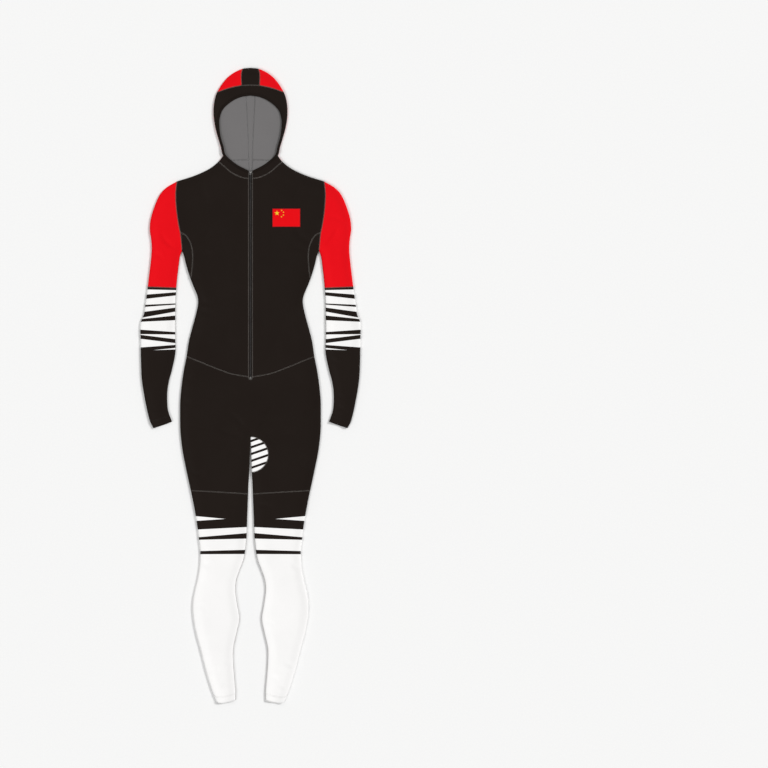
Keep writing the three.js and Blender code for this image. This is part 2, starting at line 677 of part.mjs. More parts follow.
// A side of the hood is red cloth that goes over the crown from the brow band to the back of the neck
function hoodSide() {
  const crownStartY = CURVES.backStripEdge[0][1];
  const brow = browSidePoints.slice(0, -1);
  const columns = brow.length - 1;
  const crownEndY = BAND_SIDE_Y + TIP_LENGTH / 2;
  const crown = spaced(stretch(lines.hoodSide, crownStartY, crownEndY), columns);
  const frontRows = frontStripPoints.length - 1;
  const backRows = backStripPoints.length - 1;
  const neckRows = 3;
  const frontGrid = gridBetween(brow, crown, frontStripPoints,
    spaced([brow.at(-1), crown.at(-1)], frontRows, { atEnd: true }));
  const sideLine = joined(
    spaced(stretch(lines.hoodSide, crownEndY, CURVES.shoulder[0][1]), backRows - neckRows),
    spaced(stretch(lines.shoulder, CURVES.shoulder[0][1], NECK_SIDE_Y), neckRows));
  const backGrid = gridBetween(backNeckPoints, crown, reversed(backStripPoints), reversed(sideLine));
  const shared = new Map();
  const front = layer(frontGrid, {
    bottom: many('seam', columns), top: many('wrap', columns),
    left: many('seam', frontRows), right: many('seam', frontRows),
  }, 1, shared);
  const back = layer(backGrid, {
    bottom: many('seam', columns), top: many('wrap', columns),
    left: many('seam', backRows), right: many('side', backRows),
  }, -1, shared);
  return wallOf([front, back]);
}

// The black strip runs from the brow band over the crown to a point below the back of the neck
function hoodCentre() {
  const top = CURVES.hoodSide[0];
  const crown = spaced(reversed(stretch(lines.hoodSide, CURVES.backStripEdge[0][1], top[1])), 2);
  const columns = crown.length - 1;
  const frontRows = frontStripPoints.length - 1;
  const frontGrid = gridBetween(browStripPoints, crown,
    spaced([browStripPoints[0], top], frontRows, { atEnd: true }), frontStripPoints);
  const tail = spaced([stripNeckPoint, [STRIP_TIP_HALF, STRIP_TIP_Y]], 4);
  const edge = joined(backStripPoints, tail);
  const backRows = edge.length - 1;
  const backGrid = gridBetween(
    spaced([[0, STRIP_TIP_Y], edge.at(-1)], columns), crown,
    reversed(spaced([top, [0, STRIP_TIP_Y]], backRows, { atStart: true })), reversed(edge));
  const shared = new Map();
  const front = layer(frontGrid, {
    bottom: many('seam', columns), top: many('wrap', columns),
    left: many('join', frontRows), right: many('seam', frontRows),
  }, 1, shared);
  const back = layer(backGrid, {
    bottom: many('seam', columns), top: many('wrap', columns),
    left: many('join', backRows), right: many('seam', backRows),
  }, -1, shared);
  return bothHalves([front, back]);
}

// The brow band, the cheeks and the collar are one piece round the face opening
function hoodFront() {
  const neckSide = 2;
  const cheek = 12;
  const collar = frontNeckPoints.length - 1;
  const browPoints = joined(browStripPoints, browSidePoints);
  const brow = browPoints.length - 1;
  const outerLine = joined(
    frontNeckPoints,
    spaced(reversed(stretch(lines.shoulder, CURVES.shoulder[0][1], NECK_SIDE_Y)), neckSide),
    spaced(reversed(stretch(lines.hoodSide, BAND_SIDE_Y, CURVES.shoulder[0][1])), cheek),
    reversed(browPoints));
  const columns = outerLine.length - 1;
  const [collarEndY, cheekStartY, cheekEndY] = [566, 577, 700];
  const opening = joined(
    spaced(stretch(lines.faceOpening, ZIP_TOP, collarEndY), collar),
    spaced(stretch(lines.faceOpening, collarEndY, cheekStartY), neckSide),
    spaced(stretch(lines.faceOpening, cheekStartY, cheekEndY), cheek),
    spaced(stretch(lines.faceOpening, cheekEndY, OPENING_TOP_Y), brow));
  const sharesFromOutside = [0, 0.08, 0.25, 0.6, 1];
  const grid = sharesFromOutside.map(
    (share) => opening.map((point, j) => between(outerLine[j], point, share)));
  const rows = grid.length - 1;
  return bothHalves([layer(reversed(grid).map((row) => reversed(row)), {
    bottom: many('edge', columns), left: many('join', rows), right: many('seam', rows),
    top: reversed([...many('seam', collar), ...many('side', neckSide + cheek), ...many('seam', brow)]),
  }, 1)]);
}

// Zip

const TAPE_LOW = 1.5;
const TAPE_THICK = 0.6;
const TAPE_INNER = 2.0;
const TAPE_OUTER = 13;
const TAPE_TOP_Y = ZIP_TOP - 2;
const COIL_HALF = 1.7;
const COIL_TOP = 3.4;
const SLIDER_LENGTH = 9.5;
const SLIDER_HALF = 3.9;
const SLIDER_LOW = 3.7;
const SLIDER_THICK = 1.2;
const SLIDER_TOP_Y = ZIP_TOP - 0.5;
const BRIDGE_HALF = 0.8;
const BRIDGE_HEIGHT = 2.8;
const BRIDGE_BAR = 0.8;
const BRIDGE_POST = 1.1;
const BRIDGE_LENGTH = 6.6;
const PIN_RADIUS = 0.6;
const PIN_Y = SLIDER_TOP_Y - SLIDER_LENGTH / 2;
const PIN_Z = SLIDER_LOW + SLIDER_THICK + (BRIDGE_HEIGHT - BRIDGE_BAR) / 2;
const ARM_GAP = 0.35;
const PULL_HALF = 2.4;
const PULL_START = 5.6;
const PULL_LENGTH = 19;
const PULL_THICK = 1.0;
const PULL_DROP = 1.1;

const TAPE_BOTTOM_Y = ZIP_BOTTOM + 3;
const COIL_BOTTOM_Y = ZIP_BOTTOM + 6;

function zipTape() {
  return block(TAPE_INNER, TAPE_OUTER, TAPE_BOTTOM_Y, TAPE_TOP_Y, TAPE_LOW, TAPE_LOW + TAPE_THICK);
}

// The closed coil, as one strip of its outer size
function zipCoil() {
  const topY = SLIDER_TOP_Y - SLIDER_LENGTH - SEAM_GAP;
  return block(-COIL_HALF, COIL_HALF, COIL_BOTTOM_Y, topY, TAPE_LOW, COIL_TOP);
}

// The stop is a clip over the coil's lower end
function zipStop() {
  const wall = 0.6;
  const [length, low] = [4.2, TAPE_LOW + 0.9];
  const topY = COIL_BOTTOM_Y - SEAM_GAP;
  return block(-COIL_HALF - wall, COIL_HALF + wall, topY - length, topY, low, COIL_TOP + wall);
}

// The slider is a shield-shaped plate with a keel between the rows of teeth and a bridge for the pull
function zipSlider() {
  const low = SLIDER_TOP_Y - SLIDER_LENGTH;
  const rightEdge = [
    [SLIDER_HALF * 0.55, low], [SLIDER_HALF * 0.72, low + SLIDER_LENGTH * 0.4],
    [SLIDER_HALF, SLIDER_TOP_Y - 1.5], [SLIDER_HALF * 0.8, SLIDER_TOP_Y],
  ];
  const leftEdge = reversed(rightEdge).map(([x, y]) => [-x, y]);
  const shape = new THREE.Shape([...rightEdge, ...leftEdge].map(([x, y]) => new THREE.Vector2(x, y)));
  const plate = new THREE.ExtrudeGeometry(shape, { depth: SLIDER_THICK, bevelEnabled: false });
  plate.translate(0, 0, SLIDER_LOW);
  const [keelHalf, keelInset, keelLow] = [1.1, 0.6, TAPE_LOW + SEAM_GAP];
  const keel = block(
    -keelHalf, keelHalf, low + keelInset, SLIDER_TOP_Y - keelInset, keelLow, SLIDER_LOW + 0.4);
  const top = SLIDER_LOW + SLIDER_THICK;
  const [from, to] = [PIN_Y - BRIDGE_LENGTH / 2, PIN_Y + BRIDGE_LENGTH / 2];
  const bridge = block(-BRIDGE_HALF, BRIDGE_HALF, from, to, top - 0.4, top + BRIDGE_HEIGHT);
  const window = block(-3, 3, from + BRIDGE_POST, to - BRIDGE_POST, top, top + BRIDGE_HEIGHT - BRIDGE_BAR);
  const arch = solid(bridge).subtract(solid(window));
  return geometryOf(solid(plate).add(solid(keel)).add(arch));
}

// The pull's pin lies through the bridge, and its tab lies along the zip
function zipPull() {
  const pin = new THREE.CylinderGeometry(PIN_RADIUS, PIN_RADIUS, 2 * PULL_HALF, 12);
  pin.rotateZ(Math.PI / 2).translate(0, PIN_Y, PIN_Z);
  const armInner = BRIDGE_HALF + ARM_GAP;
  const profile = new THREE.Shape([
    [0.5, PULL_THICK / 2], [-PULL_START + 1, PULL_THICK / 2], [-PULL_START - 0.6, PULL_THICK / 2 - PULL_DROP],
    [-PULL_LENGTH, PULL_THICK / 2 - PULL_DROP], [-PULL_LENGTH, -PULL_THICK / 2 - PULL_DROP],
    [-PULL_START - 0.8, -PULL_THICK / 2 - PULL_DROP], [-PULL_START + 0.8, -PULL_THICK / 2],
    [0.5, -PULL_THICK / 2],
  ].map(([along, up]) => new THREE.Vector2(along, up)));
  const tab = solid(placedTab(profile));
  const slot = block(-armInner, armInner, PIN_Y - PULL_START, PIN_Y + 2, 0, 20);
  const end = PIN_Y - PULL_LENGTH;
  const [corner, chamfer, past] = [1.6, 0.45, PULL_HALF * 1.2];
  const corners = [-1, 1].map((way) => cutter([
    [way * past, end - 1], [way * (PULL_HALF - corner), end - 1], [way * (PULL_HALF - corner), end],
    [way * (PULL_HALF - chamfer), end + chamfer], [way * PULL_HALF, end + corner], [way * past, end + corner],
  ]));
  let body = tab.subtract(solid(slot)).add(solid(pin));
  for (const cut of corners) body = body.subtract(cut);
  return geometryOf(body);
}

// The side profile of the tab, drawn along -Y and up, made as wide as the tab
function placedTab(profile) {
  const bar = new THREE.ExtrudeGeometry(profile, { depth: 2 * PULL_HALF, bevelEnabled: false });
  const turn = new THREE.Matrix4().makeBasis(
    new THREE.Vector3(0, 1, 0), new THREE.Vector3(0, 0, 1), new THREE.Vector3(1, 0, 0));
  return bar.applyMatrix4(turn).translate(-PULL_HALF, PIN_Y, PIN_Z);
}

// The flag lies on the wearer's left chest
function flag() {
  const columns = 4;
  const rows = 3;
  const grid = Array.from({ length: rows + 1 }, (_, i) => Array.from({ length: columns + 1 }, (__, j) => [
    FLAG_CENTRE[0] + FLAG_WIDTH * (j / columns - 0.5), FLAG_CENTRE[1] + FLAG_HEIGHT * (i / rows - 0.5)]));
  const kinds = {
    bottom: many('edge', columns), top: many('edge', columns),
    left: many('edge', rows), right: many('edge', rows),
  };
  const sheet = layer(grid, kinds, 1);
  for (const row of sheet.points) {
    for (const point of row) {
      const [x, y, z] = point.outer;
      point.inner = [x, y, z + SEAM_GAP];
      point.outer = [x, y, z + SEAM_GAP + FLAG_THICKNESS];
    }
  }
  return wallOf([sheet]);
}

// The suit

const cloth = (colour) => new THREE.MeshStandardMaterial({ color: colour, roughness: 0.75, metalness: 0 });
const black = cloth(0x241b18);
const red = cloth(0xe60015);
const white = cloth(0xf6f5f3);
const tapeBlack = cloth(0x2a2422);
const coilBlack = new THREE.MeshStandardMaterial({ color: 0x1c1918, roughness: 0.5, metalness: 0 });
const metal = new THREE.MeshStandardMaterial({ color: 0x7c7876, roughness: 0.4, metalness: 0.8 });

const suit = new THREE.Group();

function add(name, geometry, material) {
  const mesh = new THREE.Mesh(geometry, material);
  mesh.name = name;
  suit.add(mesh);
}

function addPair(name, geometry, material) {
  add(`${name}_left`, geometry, material);
  add(`${name}_right`, mirror(geometry), material);
}

addPair('front', frontPanel(), black);
add('back_body', backPanel(), black);
addPair('side_panel', sidePanel(), black);
addPair('upper_sleeve', upperSleeve(), red);
addPair('lower_sleeve', lowerSleeve(), black);
add('shorts_front', shorts(1), black);
add('shorts_back', shorts(-1), black);
addPair('lower_leg', lowerLeg(), white);
addPair('hood', hoodSide(), red);
add('hood_centre', hoodCentre(), black);
add('hood_front', hoodFront(), black);
addPair('zip_tape', zipTape(), tapeBlack);
add('zip_coil', zipCoil(), coilBlack);
add('zip_stop', zipStop(), metal);
add('zip_slider', zipSlider(), metal);
add('zip_pull', zipPull(), metal);
add('flag', flag(), red);
add('thigh_patch', thighPatch(), white);

export default suit;
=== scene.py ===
# Speed skating suit, one piece with a hood, laid flat on its back.
# Plan sizes are millimetres in the part's frame. They become metres where a mesh is made.
import math

import bmesh
import bpy
import numpy as np
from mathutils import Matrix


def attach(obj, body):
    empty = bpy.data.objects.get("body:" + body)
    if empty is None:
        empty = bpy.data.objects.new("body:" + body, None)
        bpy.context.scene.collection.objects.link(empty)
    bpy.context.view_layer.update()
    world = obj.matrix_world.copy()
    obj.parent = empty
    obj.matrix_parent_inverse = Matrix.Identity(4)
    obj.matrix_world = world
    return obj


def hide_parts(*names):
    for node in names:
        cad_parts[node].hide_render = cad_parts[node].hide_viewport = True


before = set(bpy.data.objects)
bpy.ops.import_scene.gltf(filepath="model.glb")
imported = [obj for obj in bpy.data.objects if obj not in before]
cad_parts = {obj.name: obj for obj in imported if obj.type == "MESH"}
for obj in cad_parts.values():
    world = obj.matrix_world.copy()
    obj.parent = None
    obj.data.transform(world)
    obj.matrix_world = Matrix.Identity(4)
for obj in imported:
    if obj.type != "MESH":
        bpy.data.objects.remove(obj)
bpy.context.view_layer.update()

METRES = 0.001
# Smaller than any size here, for rounding and against division by nothing
ROUNDING = 1e-6
NEXT_TO_NOTHING = 1e-9

# Driving dimensions of the cloth, as in the solids that it stands for
CLOTH = 0.9
SEAM_GAP = 0.3
SEAM_OPEN = 0.05
FOLD_RADIUS = 3.2
FLAT_TOP = 3.0
FOLD_FADE = 12
ZIP_HALF = 4.25
ZIP_BOTTOM = 16
ZIP_TOP = 537
ZIP_LIFT = 0.9
HALF_STRIP_FRONT = 22.5
CROWN_STRIP_HALF = 19.5
PATCH_RADIUS = 44.5
PATCH_CENTRE_Y = -172
FLAG_WIDTH = 70
FLAG_HEIGHT = 46
FLAG_CENTRE = (89.5, 420)
FLAG_THICKNESS = 1.0

# Heights where a seam leaves the outline or another seam
ARMPIT_Y = 338
FRONT_PANEL_TOP_Y = 383
BACK_PANEL_TOP_Y = 397
FRONT_PANEL_TIP_Y = 266
BACK_PANEL_TIP_Y = 222
WAIST_SIDE_Y = 73
WAIST_ZIP_Y = 22.2
KNEE_OUTER_Y = -262
KNEE_INNER_Y = -270.5
CROTCH_Y = -125.5
BAND_SIDE_Y = 734
BROW_Y = 751.5
OPENING_TOP_Y = 726
CROWN_Y = 794.5
NECK_SIDE_Y = 560
SLEEVE_JOIN_OUTER_Y = 247
SLEEVE_JOIN_INNER_Y = 244.5
STRIP_TIP_Y = 493
STRIP_TIP_HALF = 0.35

# Curves of the wearer's left half. Columns: across from the centre line, up from mid length
CURVES = {
    "hoodSide": [(0, CROWN_Y), (CROWN_STRIP_HALF, 792.3), (42, 782.3), (61, 766.8), (83, BAND_SIDE_Y),
                 (90.4, 709), (92.2, 680), (88.6, 650), (80.5, 619), (71.3, 590), (67, 577)],
    "shoulder": [(67, 577), (71.5, 570), (79.5, NECK_SIDE_Y), (101, 543), (139, 525), (184, 510.5)],
    "sleeveOuter": [(184, 510.5), (208, 497), (222, 484), (231, 469.5), (243, 439.5), (249.8, 414.5),
                    (251.7, 389.5), (248.2, 364.5), (247, 339.5), (254.8, 264.5), (261.2, 214.5),
                    (264, 195), (266.5, 178), (274.5, 158), (274.6, 114.5), (274, 64.5), (271.6, 14.5),
                    (263.6, -35.5), (255, -75.5), (250.5, -91), (242.5, -106)],
    "cuff": [(196.5, -90), (219, -98.5), (242.5, -106)],
    "sleeveInner": [(171.3, ARMPIT_Y), (176.3, 323), (179.2, 303), (183.8, 264.5), (187.5, 214.5),
                    (188.3, 164.5), (188.2, 114.5), (187.8, 84), (196.6, 39.5), (203.4, 14.5),
                    (207.8, -12), (208.4, -38), (206, -63), (196.5, -90)],
    "torsoSide": [(171.3, ARMPIT_Y), (165.8, 323), (161, 303), (149.5, FRONT_PANEL_TIP_Y),
                  (132, BACK_PANEL_TIP_Y), (130.4, 212), (132.8, 192), (146.5, 139.5), (153.5, 112),
                  (159.3, WAIST_SIDE_Y)],
    "hip": [(159.3, WAIST_SIDE_Y), (166, 39.5), (170.6, 10), (175.1, -35.5), (175.6, -72), (174.8, -115),
            (169.8, -160.5), (160, -210.5), (149, KNEE_OUTER_Y)],
    "legOuter": [(149, KNEE_OUTER_Y), (139.5, -310.5), (132.2, -355), (128.7, -386), (125.6, -412),
                 (126, -437), (128.5, -462), (133.2, -487), (139, -511), (144.2, -542), (143.2, -577),
                 (136, -618), (124.5, -660.5), (112, -710.5), (96.5, -760.5), (86, -787)],
    "hem": [(38, -786), (50, -790), (62, -792.6), (74, -794.2), (81, -792.4), (86, -787)],
    "innerThigh": [(0, CROTCH_Y), (0.6, -145), (1.9, -180), (3, -212), (5.4, -245), (6.2, KNEE_INNER_Y)],
    "legInner": [(6.2, KNEE_INNER_Y), (8.3, -325), (10.6, -384), (17.6, -434), (27.5, -461), (35.8, -486),
                 (38, -510), (33.6, -545), (28, -583), (33.4, -612), (43.3, -658), (43, -695),
                 (39.8, -737), (37.6, -764), (38, -786)],
    "armhole": [(184, 510.5), (187, 481), (185, 441), (178.6, BACK_PANEL_TOP_Y),
                (175.5, FRONT_PANEL_TOP_Y), (172.3, 352), (171.3, ARMPIT_Y)],
    "frontPanelSeam": [(175.5, FRONT_PANEL_TOP_Y), (163, 377), (152, 361), (146, 342), (144.5, 318),
                       (146, 295), (149.5, FRONT_PANEL_TIP_Y)],
    "backPanelSeam": [(178.6, BACK_PANEL_TOP_Y), (160, 391.5), (143, 377), (129.5, 359.5), (123, 338),
                      (122, 309), (125, 277), (128, 246), (132, BACK_PANEL_TIP_Y)],
    "waistSeam": [(0, 22), (26, 25.5), (51.5, 31), (101.5, 49.5), (125.5, 59.5), (159.3, WAIST_SIDE_Y)],
    "kneeSeam": [(6.2, KNEE_INNER_Y), (77, -266), (149, KNEE_OUTER_Y)],
    "frontNeckSeam": [(ZIP_HALF, 518), (20, 520.5), (33.5, 525.5), (49, 534), (66.5, 549),
                      (79.5, NECK_SIDE_Y)],
    "backNeckSeam": [(4.3, 564.8), (45, 563.5), (79.5, NECK_SIDE_Y)],
    "sleeveJoin": [(185.7, SLEEVE_JOIN_INNER_Y), (257, SLEEVE_JOIN_OUTER_Y)],
    "faceOpening": [(ZIP_HALF, ZIP_TOP), (10.5, 540), (29.5, 549.5), (47, 562), (63, 578), (68, 598),
                    (75.5, 625), (78.5, 655), (77.5, 669), (70, 690), (47, 711), (24, 722),
                    (0, OPENING_TOP_Y)],
    "browEdge": [(0, BROW_Y), (HALF_STRIP_FRONT, 750.5), (54, 744), (83, BAND_SIDE_Y)],
    "frontStripEdge": [(HALF_STRIP_FRONT, 750.5), (HALF_STRIP_FRONT, 783), (CROWN_STRIP_HALF, 792.3)],
    "backStripEdge": [(CROWN_STRIP_HALF, 792.3), (15, 782), (10.5, 714), (5.5, 614), (4.3, 564.8)],
}

# Creases in the front. Columns: start across and up, end across and up, sideways bow, width, height.
# Across is positive on the wearer's left.
FRONT_CREASES = [
    (156, 356, 108, 398, 7, 8, 1.6), (142, 334, 92, 344, -6, 6.5, 1), (148, 296, 112, 286, 4, 7, 0.9),
    (184, 348, 218, 394, -5, 6.5, 1.4), (192, 424, 240, 404, 4, 5.5, 0.9), (186, 300, 222, 318, 4, 6, 0.8),
    (189, 234, 232, 220, 4, 5.5, 1.2), (188, 204, 218, 213, -3, 4.5, 0.8), (268, 196, 232, 203, 3, 5, 1.1),
    (272, 96, 234, 86, 4, 5.5, 0.8), (190, 66, 222, 54, 3, 5, 0.7), (244, -62, 214, -50, 2, 4.5, 0.9),
    (208, -24, 236, -34, 3, 4.5, 0.7), (136, 208, 84, 196, 6, 8.5, 1.5), (140, 178, 98, 184, -4, 7, 1),
    (148, 142, 110, 154, 5, 7.5, 0.9), (70, 128, 34, 62, 8, 13, 0.8), (124, 516, 98, 462, 6, 11, 0.8),
    (172, 12, 124, -8, 5, 9, 1), (176, -56, 134, -76, -5, 8, 0.8), (12, -114, 74, -80, 6, 7.5, 1.6),
    (16, -92, 60, -44, -5, 6.5, 1), (56, -132, 112, -120, 6, 8.5, 0.8), (162, -186, 122, -206, 4, 7.5, 0.9),
    (14, -296, 58, -310, 4, 6.5, 1.1), (138, -330, 96, -320, -4, 7, 1), (12, -352, 50, -344, 3, 5.5, 0.8),
    (130, -452, 98, -444, 3, 6.5, 0.9), (30, -590, 62, -600, 3, 6, 0.7), (116, -700, 82, -690, 3, 5.5, 1),
    (44, -726, 70, -736, 2, 5, 0.8), (94, -754, 68, -748, 2, 4.5, 0.7), (88, 668, 84, 624, 3, 3.6, 0.5),
    (-150, 360, -98, 388, -8, 8.5, 1.5), (-140, 322, -96, 326, 5, 6.5, 1.1),
    (-146, 282, -118, 268, -4, 6.5, 0.7), (-186, 342, -226, 384, 5, 6, 1.3),
    (-194, 440, -236, 424, -4, 5.5, 0.8), (-250, 330, -216, 316, 4, 6.5, 0.9),
    (-190, 240, -238, 228, -4, 5, 1.1), (-190, 210, -214, 202, 3, 4.5, 0.9),
    (-266, 186, -226, 190, -3, 5.5, 1.2), (-274, 118, -240, 104, -4, 5.5, 0.7),
    (-192, 52, -228, 46, -3, 5, 0.8), (-248, -58, -212, -60, -2, 4.5, 0.8),
    (-210, -12, -240, -18, -3, 4.5, 0.8), (-135, 214, -90, 210, -5, 8, 1.3),
    (-139, 186, -88, 174, 6, 7.5, 1.2), (-152, 130, -122, 134, -4, 7, 0.8),
    (-58, 150, -40, 88, -8, 12, 0.7), (-120, 510, -104, 448, -6, 11.5, 0.9),
    (-170, 24, -118, 16, -6, 9, 0.9), (-177, -40, -146, -50, 4, 7.5, 0.7),
    (-14, -110, -64, -66, -7, 7, 1.5), (-20, -124, -84, -104, 5, 7.5, 1),
    (-150, -214, -112, -222, -4, 7.5, 1), (-20, -176, -52, -166, -4, 7, 0.7),
    (-12, -304, -62, -300, -4, 6.5, 1.2), (-136, -340, -104, -348, 4, 6.5, 0.8),
    (-14, -372, -44, -380, -3, 5.5, 0.7), (-130, -440, -92, -448, -4, 6.5, 1),
    (-142, -560, -112, -548, 3, 6.5, 0.6), (-112, -712, -78, -708, -3, 5.5, 0.9),
    (-43, -690, -66, -696, -2, 5, 0.7), (-46, -746, -74, -752, -2, 4.5, 0.9),
    (-90, 652, -84, 610, -3, 3.6, 0.5),
]

# Shallow troughs in the back, which rests on the floor. The columns are the same
BACK_CREASES = [
    (150, 338, 96, 372, 7, 9, 0.55), (118, 300, 84, 288, 4, 8, 0.4), (136, 200, 78, 190, 6, 9, 0.6),
    (142, 160, 104, 168, -5, 8, 0.45), (190, 226, 240, 214, 4, 6, 0.5), (188, 330, 226, 350, -4, 7, 0.5),
    (20, -108, 84, -78, 7, 8.5, 0.6), (150, -232, 96, -244, 5, 9, 0.55), (20, -258, 66, -246, 4, 7.5, 0.45),
    (134, -420, 86, -412, -4, 7.5, 0.5), (44, -704, 90, -716, 3, 6, 0.45), (60, 690, 20, 706, 4, 7, 0.4),
    (-146, 350, -88, 366, -8, 9, 0.6), (-134, 216, -92, 212, -5, 8.5, 0.5),
    (-140, 172, -84, 160, 6, 8.5, 0.55), (-192, 218, -232, 222, -4, 6, 0.55),
    (-252, 300, -214, 312, 4, 7, 0.4), (-18, -120, -72, -72, -7, 8.5, 0.55),
    (-148, -220, -104, -216, -5, 8.5, 0.5), (-18, -280, -70, -290, -4, 7.5, 0.45),
    (-132, -404, -92, -416, 4, 7.5, 0.5), (-46, -716, -92, -704, -3, 6, 0.45),
    (-150, 60, -96, 48, 6, 9.5, 0.4), (-70, 640, -34, 630, -4, 7, 0.35),
]

# How finely the cloth is made. FOLD_STEPS are the close steps next to a fold, round the roll and past it
PITCH = 4.2
CREASE_RISE = 1.25
CREASE_START_WIDTH = 0.75
CREASE_WIDENS = 0.35
CREASE_FADE = 0.8
DIP_OFF = 1.7
DIP_WIDTH = 1.2
FRONT_DIP = 0.3
BACK_SINK = 0.04
FOLD_TURNS = np.radians([22, 44, 62, 77, 90])
FOLD_STEPS = np.append(FOLD_RADIUS * (1 - np.cos(FOLD_TURNS)), [5.0, 7.6, 10.8, 14.6])
SHORTEST_WITH_STEPS = 34
MORE_AT_FOLD = 5
NOTCH_STEPS = 17
CROWN_STEPS = 22
HOOD_STEPS = 64
WELDS_TO_A_MM = 500

# What a face of the cloth belongs to
FACE, WRONG_SIDE, RIM = range(3)


# Plan curves

def smooth(points, steps=10):
    """A smooth line through the points of a table, by centripetal spans."""
    points = np.array(points, float)
    if len(points) < 3:
        return points
    padded = np.vstack([2 * points[0] - points[1], points, 2 * points[-1] - points[-2]])
    line = [points[0]]
    for p0, p1, p2, p3 in zip(padded, padded[1:], padded[2:], padded[3:]):
        g0, g1, g2 = (math.sqrt(math.dist(a, b)) for a, b in ((p0, p1), (p1, p2), (p2, p3)))
        start = ((p1 - p0) / g0 - (p2 - p0) / (g0 + g1) + (p2 - p1) / g1) * g1
        end = ((p2 - p1) / g1 - (p3 - p1) / (g1 + g2) + (p3 - p2) / g2) * g1
        for k in range(1, steps + 1):
            t = k / steps
            bend = -3 * p1 + 3 * p2 - 2 * start - end
            line.append(p1 + start * t + bend * t * t + (2 * p1 - 2 * p2 + start + end) * t ** 3)
    return np.array(line)


LINES = {name: smooth(points) for name, points in CURVES.items()}


def distances(line):
    return np.append(0, np.cumsum(np.linalg.norm(np.diff(line, axis=0), axis=1)))


def along(line, places):
    """The points of a line at distances from its start."""
    run = distances(line)
    return np.stack([np.interp(places, run, line[:, k]) for k in range(line.shape[1])], axis=1)


def length_of(line):
    return distances(line)[-1]


def stretch(line, from_y, to_y):
    """The part of a line between two heights, in the order that they are given."""
    run = distances(line)

    def distance_at(y):
        for k in range(1, len(line)):
            low, high = line[k - 1][1], line[k][1]
            t = (y - low) / (high - low) if high != low else -1
            if 0 <= t <= 1:
                return run[k - 1] + t * (run[k] - run[k - 1])
        return 0 if abs(y - line[0][1]) < abs(y - line[-1][1]) else run[-1]

    start, end = distance_at(from_y), distance_at(to_y)
    inside = run[(run > min(start, end) + ROUNDING) & (run < max(start, end) - ROUNDING)]
    places = np.concatenate([[start], inside if end > start else inside[::-1], [end]])
    return along(line, places)


def joined(*lines):
    return np.vstack([lines[0]] + [line[1:] for line in lines[1:]])


def straight(*points):
    return np.array(points, float)


def arc(centre, radius, start, end, sides):
    turns = np.radians(np.linspace(start, end, sides + 1))
    return np.stack([centre[0] + radius * np.cos(turns), centre[1] + radius * np.sin(turns)], axis=1)


def steps_for(line, pitch=PITCH):
    return max(2, round(length_of(line) / pitch))


def spaced(line, count, at_start=False, at_end=False):
    """count + 1 points on a line, with close steps at the ends that lie on a fold."""
    length = length_of(line)
    steps = FOLD_STEPS * min(1, length / SHORTEST_WITH_STEPS)
    starts = steps if at_start else np.array([])
    ends = (length - steps)[::-1] if at_end else np.array([])
    first = starts[-1] if at_start else 0
    last = ends[0] if at_end else length
    middle = count - len(starts) - len(ends)
    inner = first + (last - first) * np.arange(1, middle) / middle
    return along(line, np.concatenate([[0], starts, inner, ends, [length]]))


def through(*lines):
    """Points on several lines in turn, that keep the corners between them."""
    return joined(*[spaced(line, steps_for(line)) for line in lines])


# The outline, where the cloth folds or is seamed at its side, counter-clockwise
FOLD_LINES = [
    LINES["innerThigh"], LINES["legInner"], LINES["legOuter"][::-1], LINES["hip"][::-1],
    LINES["torsoSide"][::-1], LINES["sleeveInner"], LINES["sleeveOuter"][::-1],
    LINES["shoulder"][::-1], LINES["hoodSide"][::-1],
]
EDGE_START = np.vstack([line[:-1] for line in FOLD_LINES])
EDGE_STEP = np.vstack([np.diff(line, axis=0) for line in FOLD_LINES])
EDGE_SQUARE = (EDGE_STEP ** 2).sum(axis=1)
EDGE_WAY_IN = np.stack([-EDGE_STEP[:, 1], EDGE_STEP[:, 0]], axis=1) / np.sqrt(EDGE_SQUARE)[:, None]


def from_outline(plan):
    """Distance from plan points to the outline, and the way in from there."""
    across = np.abs(plan[:, 0])
    points = np.stack([across, plan[:, 1]], axis=1)
    distance = np.empty(len(points))
    way = np.empty((len(points), 2))
    on_the_line, as_near, at_a_time = 0.02, 1e-4, 4000
    for start in range(0, len(points), at_a_time):
        part = points[start:start + at_a_time]
        off = part[:, None, :] - EDGE_START[None]
        t = np.clip((off * EDGE_STEP[None]).sum(axis=2) / EDGE_SQUARE[None], 0, 1)
        off -= t[:, :, None] * EDGE_STEP[None]
        gaps = np.linalg.norm(off, axis=2)
        nearest = gaps.argmin(axis=1)
        rows = np.arange(len(part))
        best = gaps[rows, nearest]
        close = best <= on_the_line
        ways = off[rows, nearest] / np.maximum(best, NEXT_TO_NOTHING)[:, None]
        touching = (gaps < best[:, None] + as_near).astype(float)
        ways[close] = (touching @ EDGE_WAY_IN)[close]
        distance[start:start + at_a_time] = best
        way[start:start + at_a_time] = ways
    centre = across < ROUNDING
    way[centre] = np.stack([np.zeros(centre.sum()), np.sign(way[centre, 1])], axis=1)
    way /= np.maximum(np.linalg.norm(way, axis=1), NEXT_TO_NOTHING)[:, None]
    way[:, 0] *= np.where(plan[:, 0] < 0, -1, 1)
    return distance, way


# Heights of the two layers

def ease(t):
    t = np.clip(t, 0, 1)
    return t * t * (3 - 2 * t)


LIFT_HALF = 16
LIFT_SIDE_FADE = 30
LIFT_END_FADE = 25
LIFT_PAST_END = 5


def zip_lift(x, y):
    """The front lies a little higher where the zip's tapes are under it."""
    beside = 1 - ease((np.abs(x) - LIFT_HALF) / LIFT_SIDE_FADE)
    above = ease((y - ZIP_TOP - LIFT_PAST_END) / LIFT_END_FADE)
    below = ease((ZIP_BOTTOM - LIFT_PAST_END - y) / LIFT_END_FADE)
    return ZIP_LIFT * beside * (1 - above) * (1 - below)


